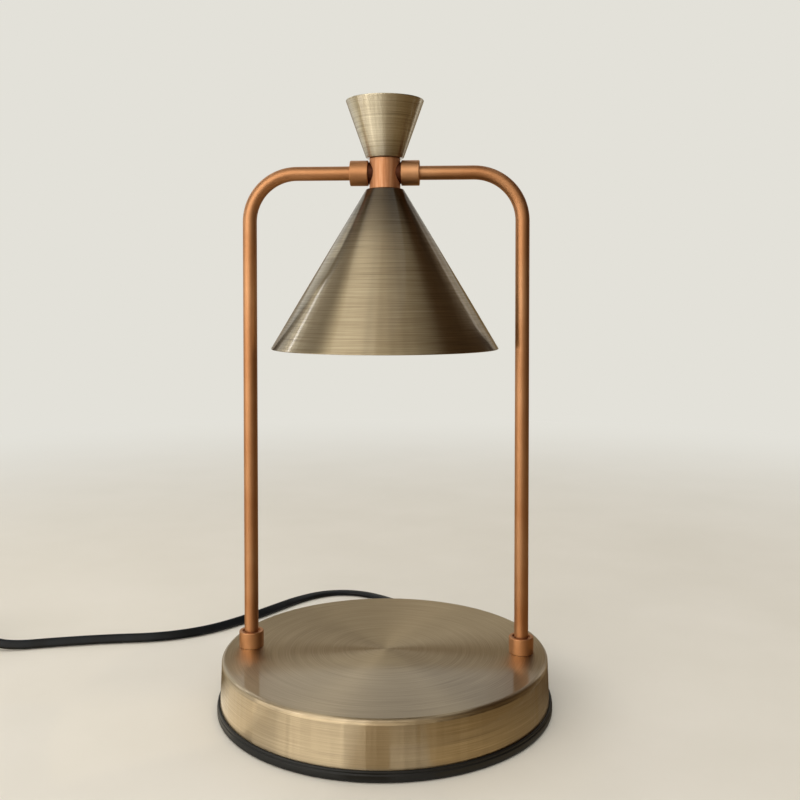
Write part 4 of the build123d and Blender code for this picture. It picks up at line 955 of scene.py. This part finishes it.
plug_rows = [(PLUG_Y, PLUG_Z, *row) for row in zip(plug_half_y, plug_half_z, plug_corner, plug_x)]
plug_ends = [(PLUG_Y, PLUG_Z, 0.0, 0.0, 0.0, x) for x in (PLUG_X, FACE_X)]
plug = stacked("moulded_plug", plug_ends[:1] + plug_rows + plug_ends[1:], "X")
wear(plug, "stand", "black_plastic", finishes["black_plastic"], "plug_body")

# %% [markdown]
# What the cords are
#
# Both cords are soft on the real lamp. The dimmer is a fitting on the first, and the plug ends the second,
# so the pieces that go with the first are gathered here in a list.

# %% The supply cord's pieces gathered
on_supply = [bushing, dimmer_shell, wedge, *lips]
on_supply += [frame["nodes"][name] for name in ("dimmer_case_lower", "dimmer_case_screws")]
print("cords:", supply.name, "with", len(on_supply), "pieces, and", coil_cord.name)

# %% [markdown]
# The table
#
# The lamp stands on a plain pale table that keeps its shadow. A table that simply ended would show an edge in
# the views from above, so it is a wide disc whose finish fades into the colour of the room. Only what is seen,
# straight, in metal or through glass, fades: the light that the table throws back stays as it is.

# %% A pale finish that fades into the room
ROOM_COLOUR, TABLE_DRIFT_MM = "#e3e1d9", 90
FADE_FROM, FADE_TO = 0.25, 1.1


def seen_share(tree):
    """One for a ray from the camera, a reflection or through glass, and zero for other light: the largest of
    three of Light Path's outputs."""
    paths = add(tree, "LightPath").outputs
    straight = add(tree, "Math", links={0: paths["Is Camera Ray"], 1: paths["Is Glossy Ray"]},
                   operation="MAXIMUM")
    return add(tree, "Math", links={0: straight.outputs[0], 1: paths["Is Transmission Ray"]},
               operation="MAXIMUM").outputs[0]


table_material, table_tree, table_shader = blank("pale_table", roughness=0.75)
table_place = add(table_tree, "TexCoord").outputs["Object"]
table_noise = add(table_tree, "TexNoise", {"Scale": 1 / (TABLE_DRIFT_MM * MM), "Detail": 4.0},
                  {"Vector": table_place})
table_tones = add(table_tree, "ValToRGB", links={0: table_noise.outputs[0]},
                  stops=((NOISE_LOW, "#e4dfd4"), (NOISE_HIGH, "#e9e4da")))
feed(table_tree, table_shader, {"Base Color": table_tones.outputs[0]})
table_reach = add(table_tree, "VectorMath", links={0: table_place}, operation="LENGTH")
table_fade = add(table_tree, "MapRange", {1: FADE_FROM, 2: FADE_TO, 3: 0.0, 4: 1.0},
                 {0: table_reach.outputs["Value"]}, interpolation_type="SMOOTHSTEP")
table_share = add(table_tree, "Math", links={0: table_fade.outputs[0], 1: seen_share(table_tree)},
                  operation="MULTIPLY")
table_far = add(table_tree, "Emission", {0: linear(ROOM_COLOUR), 1: 1.0})
table_mix = add(table_tree, "MixShader", links={0: table_share.outputs[0], 1: table_shader.outputs[0],
                                                2: table_far.outputs[0]})
feed(table_tree, table_tree.nodes["Material Output"], {0: table_mix.outputs[0]})
print("the table fades from", FADE_FROM, "to", FADE_TO, "m")

# %% The table's disc
TABLE_RINGS, TABLE_SIDES, TABLE_Z = np.array([0.0, 0.3, 0.8, 2.0, 12.0]), 96, -0.0002
table_angle = np.linspace(0, TURN, TABLE_SIDES + 1)
table_x, table_y = (TABLE_RINGS[:, None] * way(table_angle[:-1]) for way in (np.cos, np.sin))
table = skin("table", np.stack([table_x, table_y, np.full_like(table_x, TABLE_Z)], -1), table_angle,
             np.append(TABLE_RINGS, TABLE_RINGS[-1]))
table.data.materials.append(table_material)
if table.data.polygons[0].normal.z < 0:
    table.data.flip_normals()
print("table out to", TABLE_RINGS[-1], "m")

# %% [markdown]
# The room and its window
#
# The room is even and pale. One large lamp would light it, but metal shows what is round it, and brushed bronze
# wants a tall bright band that fades to one side. So the window is eight tall strips, bright at the left and
# dimmer towards the front right. A low panel fills in at the left, for reflections alone. A narrow strip behind
# at the left draws the bright line on the shade's edge, another behind at the right lights the far side, and a
# soft panel overhead lights the base without showing in it.

# %% Pale room
ROOM_LIGHT, ROOM_STRENGTH = "#eceae4", 0.7
world = bpy.data.worlds.new("pale_room")
bpy.context.scene.world = world
world.use_nodes = True
room = world.node_tree
room_light = room.nodes["Background"]
room_light.inputs[0].default_value = linear(ROOM_LIGHT)
room_light.inputs[1].default_value = ROOM_STRENGTH
room_shown = add(room, "Background", {0: linear(ROOM_COLOUR), 1: 1.0})
room_choice = add(room, "MixShader", links={0: seen_share(room), 1: room_light.outputs[0],
                                            2: room_shown.outputs[0]})
feed(room, room.nodes["World Output"], {0: room_choice.outputs[0]})
print("room light", ROOM_LIGHT, "at strength", ROOM_STRENGTH)

# %% Window strips and panels
DAYLIGHT, LIT_POINT = "#fff8ee", Vector((0, 0, 0.14))
WINDOW_REACH, WINDOW_Z, WINDOW_TALL = 1.2, 0.55, 1.3
WINDOW = ((34, 0.18, 0.5), (19, 0.2, 0.9), (5, 0.2, 1.35), (-9, 0.2, 1.9), (-24, 0.24, 2.2), (-38, 0.2, 2.3),
          (-52, 0.18, 2.1), (-66, 0.14, 0.6))  # bearing from the front, width, brightness
PANELS = {  # place, width, height, brightness, colour
    "low_panel": ((-0.75, -0.35, 0.12), 0.6, 0.3, 1.8, DAYLIGHT),
    "back_strip": ((-0.935, 0.456, 0.85), 0.07, 0.8, 4.5, "#ffffff"),
    "edge_panel": ((0.62, 0.72, 0.45), 0.10, 0.8, 0.8, "#fff6ea"),
    "top_panel": ((-0.2, 0.1, 1.3), 0.7, 0.7, 1.6, "#ffffff"),
}


def panel(name, place, wide, tall, strength, colour):
    """A soft rectangular light, aimed at the lit point: its power is pi times its area times the brightness
    that it shows."""
    data = bpy.data.lights.new(name, "AREA")
    data.shape = "RECTANGLE"
    data.size, data.size_y = wide, tall
    data.energy = math.pi * wide * tall * strength
    data.color = linear(colour)[:3]
    lamp = bpy.data.objects.new(name, data)
    bpy.context.collection.objects.link(lamp)
    lamp.matrix_world = looking(place, LIT_POINT - Vector(place))
    lamp.visible_camera = False
    return lamp


for number, (bearing, wide, strength) in enumerate(WINDOW):
    way = math.radians(bearing)
    place = (WINDOW_REACH * math.sin(way), -WINDOW_REACH * math.cos(way), WINDOW_Z)
    panel(f"window_{number}", place, wide, WINDOW_TALL, strength, DAYLIGHT)
panels = {name: panel(name, *numbers) for name, numbers in PANELS.items()}
panels["low_panel"].visible_diffuse = False
panels["top_panel"].visible_glossy = False
print(len(WINDOW), "window strips and", len(panels), "panels")

# %% [markdown]
# Cards for the reflections
#
# Studios stand cards round shiny things, because metal takes its tones from them. Painting those tones on the
# metal would be quicker, but they would turn with the head when it tilts. Here tall cards at the right and
# behind give the bronze its brown side, a dark one at the left edges the bright band, and low ones on the
# table give the skirt and the cones warm tones from below. A card shows only in reflections, so it neither
# lights the lamp nor hides it. Its glow grades with the bearing, which is taken from the front and is positive
# to the right.

# %% Where the cards stand
TALL, BACK, RING_EDGE = (1.25, 1.25), (1.0, 1.0), 0.0845
ON_TABLE, CLOSE_TO_TABLE, BACK_BAND = (0.001, 0.001), (0.0005, 0.0005), (0.22, 0.43)
CARDS = {  # the grade's two bearings and colours, then the card's bearings, radii, heights and strength
    "right_card": (-8, "#c9bea8", 72, "#2c1f14", (-8, 100), TALL, (0.0, 0.7), 1.0),
    "right_high_card": (-8, "#c9bea8", 72, "#54402c", (-8, 100), TALL, (0.7, 2.2), 1.0),
    "far_right_card": (138, "#4a3826", 180, ROOM_COLOUR, (100, 176), TALL, (0.0, 2.2), 1.0),
    "left_edge_card": (-108, "#3a2c1f", -66, "#3a2c1f", (-108, -66), TALL, (0.55, 1.7), 1.0),
    "ceiling_card": (-180, "#3a2f24", 180, "#3a2f24", (0, 360), (0.0, 0.5), (1.6, 1.6), 1.0),
    "floor_right_card": (8, "#7a6546", 100, "#8c7653", (6, 180), (0.12, 1.2), ON_TABLE, 1.0),
    "floor_side_card": (-165, "#8c7653", -122, "#cdb88e", (-180, -85), (0.16, 1.2), ON_TABLE, 1.0),
    "near_side_card": (-97, "#5a4a30", -82, "#fff0d4", (-125, -55), (RING_EDGE, 0.16), ON_TABLE, 1.25),
    "floor_left_card": (-180, "#7a6546", 180, "#7a6546", (-85, 6), (0.5, 1.2), ON_TABLE, 1.0),
    "near_front_card": (-20, "#8b7550", 6, "#9a845e", (-7, 6), (RING_EDGE, 0.18), ON_TABLE, 1.0),
    "front_card": (-45, "#a58f68", -20, "#6f5836", (-45, 6), (0.17, 0.28), ON_TABLE, 1.0),
    "near_left_card": (-52, "#b3ab9c", -24, "#f6f0e2", (-55, -10), (RING_EDGE, 0.16), ON_TABLE, 1.15),
    "near_card": (40, "#d2bc94", 100, "#3f2d19", (20, 140), (RING_EDGE, 0.12), CLOSE_TO_TABLE, 1.0),
    "back_card": (130, ROOM_COLOUR, 160, "#70582f", (130, 180), BACK, BACK_BAND, 1.0),
    "back_left_card": (-160, "#70582f", -130, ROOM_COLOUR, (-180, -130), BACK, BACK_BAND, 1.0),
}
print(len(CARDS), "cards")

# %% Cards that show only in reflections
CARD_COLUMNS = 24


def card_finish(name, from_deg, from_colour, to_deg, to_colour, strength):
    """Light that grades from one colour to another by the bearing, the arc tangent of x over -y."""
    material, tree, _ = blank(name)
    parts = add(tree, "SeparateXYZ", links={0: add(tree, "TexCoord").outputs["Object"]})
    front = add(tree, "Math", {1: -1.0}, {0: parts.outputs[1]}, operation="MULTIPLY")
    angle = add(tree, "Math", links={0: parts.outputs[0], 1: front.outputs[0]}, operation="ARCTAN2")
    share = add(tree, "MapRange", {1: math.radians(from_deg), 2: math.radians(to_deg)}, {0: angle.outputs[0]})
    tones = add(tree, "ValToRGB", links={0: share.outputs[0]}, stops=((0.0, from_colour), (1.0, to_colour)))
    glow = add(tree, "Emission", {1: strength}, {0: tones.outputs[0]})
    feed(tree, tree.nodes["Material Output"], {0: glow.outputs[0]})
    return material


def reflections_only(made, material):
    """Hides a piece of the stage from everything but reflections."""
    made.data.materials.append(material)
    made.visible_camera = made.visible_diffuse = made.visible_shadow = made.visible_transmission = False


def card(name, material, bearings, radii, heights):
    """Part of a cone round the lamp, between two bearings: a point at bearing b and radius r is (r sin b,
    -r cos b), and the height goes with the radius."""
    angle = np.radians(np.linspace(*bearings, CARD_COLUMNS))
    ring = np.stack([np.sin(angle), -np.cos(angle), np.zeros_like(angle)], -1)
    points = np.concatenate([radius * ring + (0, 0, height) for radius, height in zip(radii, heights)])
    i = np.arange(CARD_COLUMNS - 1)
    faces = np.stack([i, i + 1, i + 1 + CARD_COLUMNS, i + CARD_COLUMNS], -1)
    mesh = bpy.data.meshes.new(name)
    mesh.from_pydata(points.tolist(), [], faces.tolist())
    made = bpy.data.objects.new(name, mesh)
    bpy.context.collection.objects.link(made)
    reflections_only(made, material)


for name, (*grade, bearings, radii, heights, strength) in CARDS.items():
    card(name, card_finish(name, *grade, strength), bearings, radii, heights)
print("each card has", CARD_COLUMNS - 1, "faces")

# %% [markdown]
# Dark sleeves round the legs
#
# The legs mirror nearly black in the edges of the shade, because little light reaches the sides that it sees.
# The room here is pale and even, so they would mirror bright. Darker copper would mend that, but it would show
# on the legs too. So a dark sleeve stands close round each leg and its bend, and shows only in reflections. It
# is clear from inside, so that the leg's own gloss still looks out at the room. Near the base it is a brown
# copper, because the legs mirror so in the base's top.

# %% Sleeves that mirror dark
FLAG_ROOM, FLAG_LOW, FLAG_DARK, FLAG_PAST_BEND = 0.3, 35.0, 120.0, 1.0
flag_material, flag_tree, _ = blank("dark_sleeve")
flag_place = add(flag_tree, "SeparateXYZ", links={0: add(flag_tree, "TexCoord").outputs["Object"]})
flag_rise = add(flag_tree, "MapRange", {1: FLAG_LOW * MM, 2: FLAG_DARK * MM}, {0: flag_place.outputs[2]})
flag_tones = add(flag_tree, "ValToRGB", links={0: flag_rise.outputs[0]},
                 stops=((0.0, "#84552f"), (1.0, "#2e1c11")))
flag_glow = add(flag_tree, "Emission", {1: 1.0}, {0: flag_tones.outputs[0]})
flag_mix = add(flag_tree, "MixShader", links={
    0: add(flag_tree, "NewGeometry").outputs["Backfacing"], 1: flag_glow.outputs[0],
    2: add(flag_tree, "BsdfTransparent").outputs[0],
})
feed(flag_tree, flag_tree.nodes["Material Output"], {0: flag_mix.outputs[0]})
flag_section = round_section * (1 + FLAG_ROOM / TUBE)
for word, side in SIDES:
    line, across, up = bent_tube(side)
    upper = (line[:, 2] > FLAG_LOW) & (np.abs(line[:, 0]) > LEG_X - BEND - FLAG_PAST_BEND)
    flag_rings = rings_along(line[upper], across[upper], up[upper], flag_section)
    flag = skin(f"leg_flag_{word}", flag_rings * MM, np.arange(TUBE_SIDES + 1) * MM,
                np.arange(len(flag_rings) + 1) * MM)
    reflections_only(flag, flag_material)
    print(flag.name, len(flag.data.polygons), "faces")

# %% [markdown]
# Last lines
#
# The view transform is Standard, so a colour shows about as it is written.

# %% Finish
bpy.context.scene.view_settings.view_transform = "Standard"
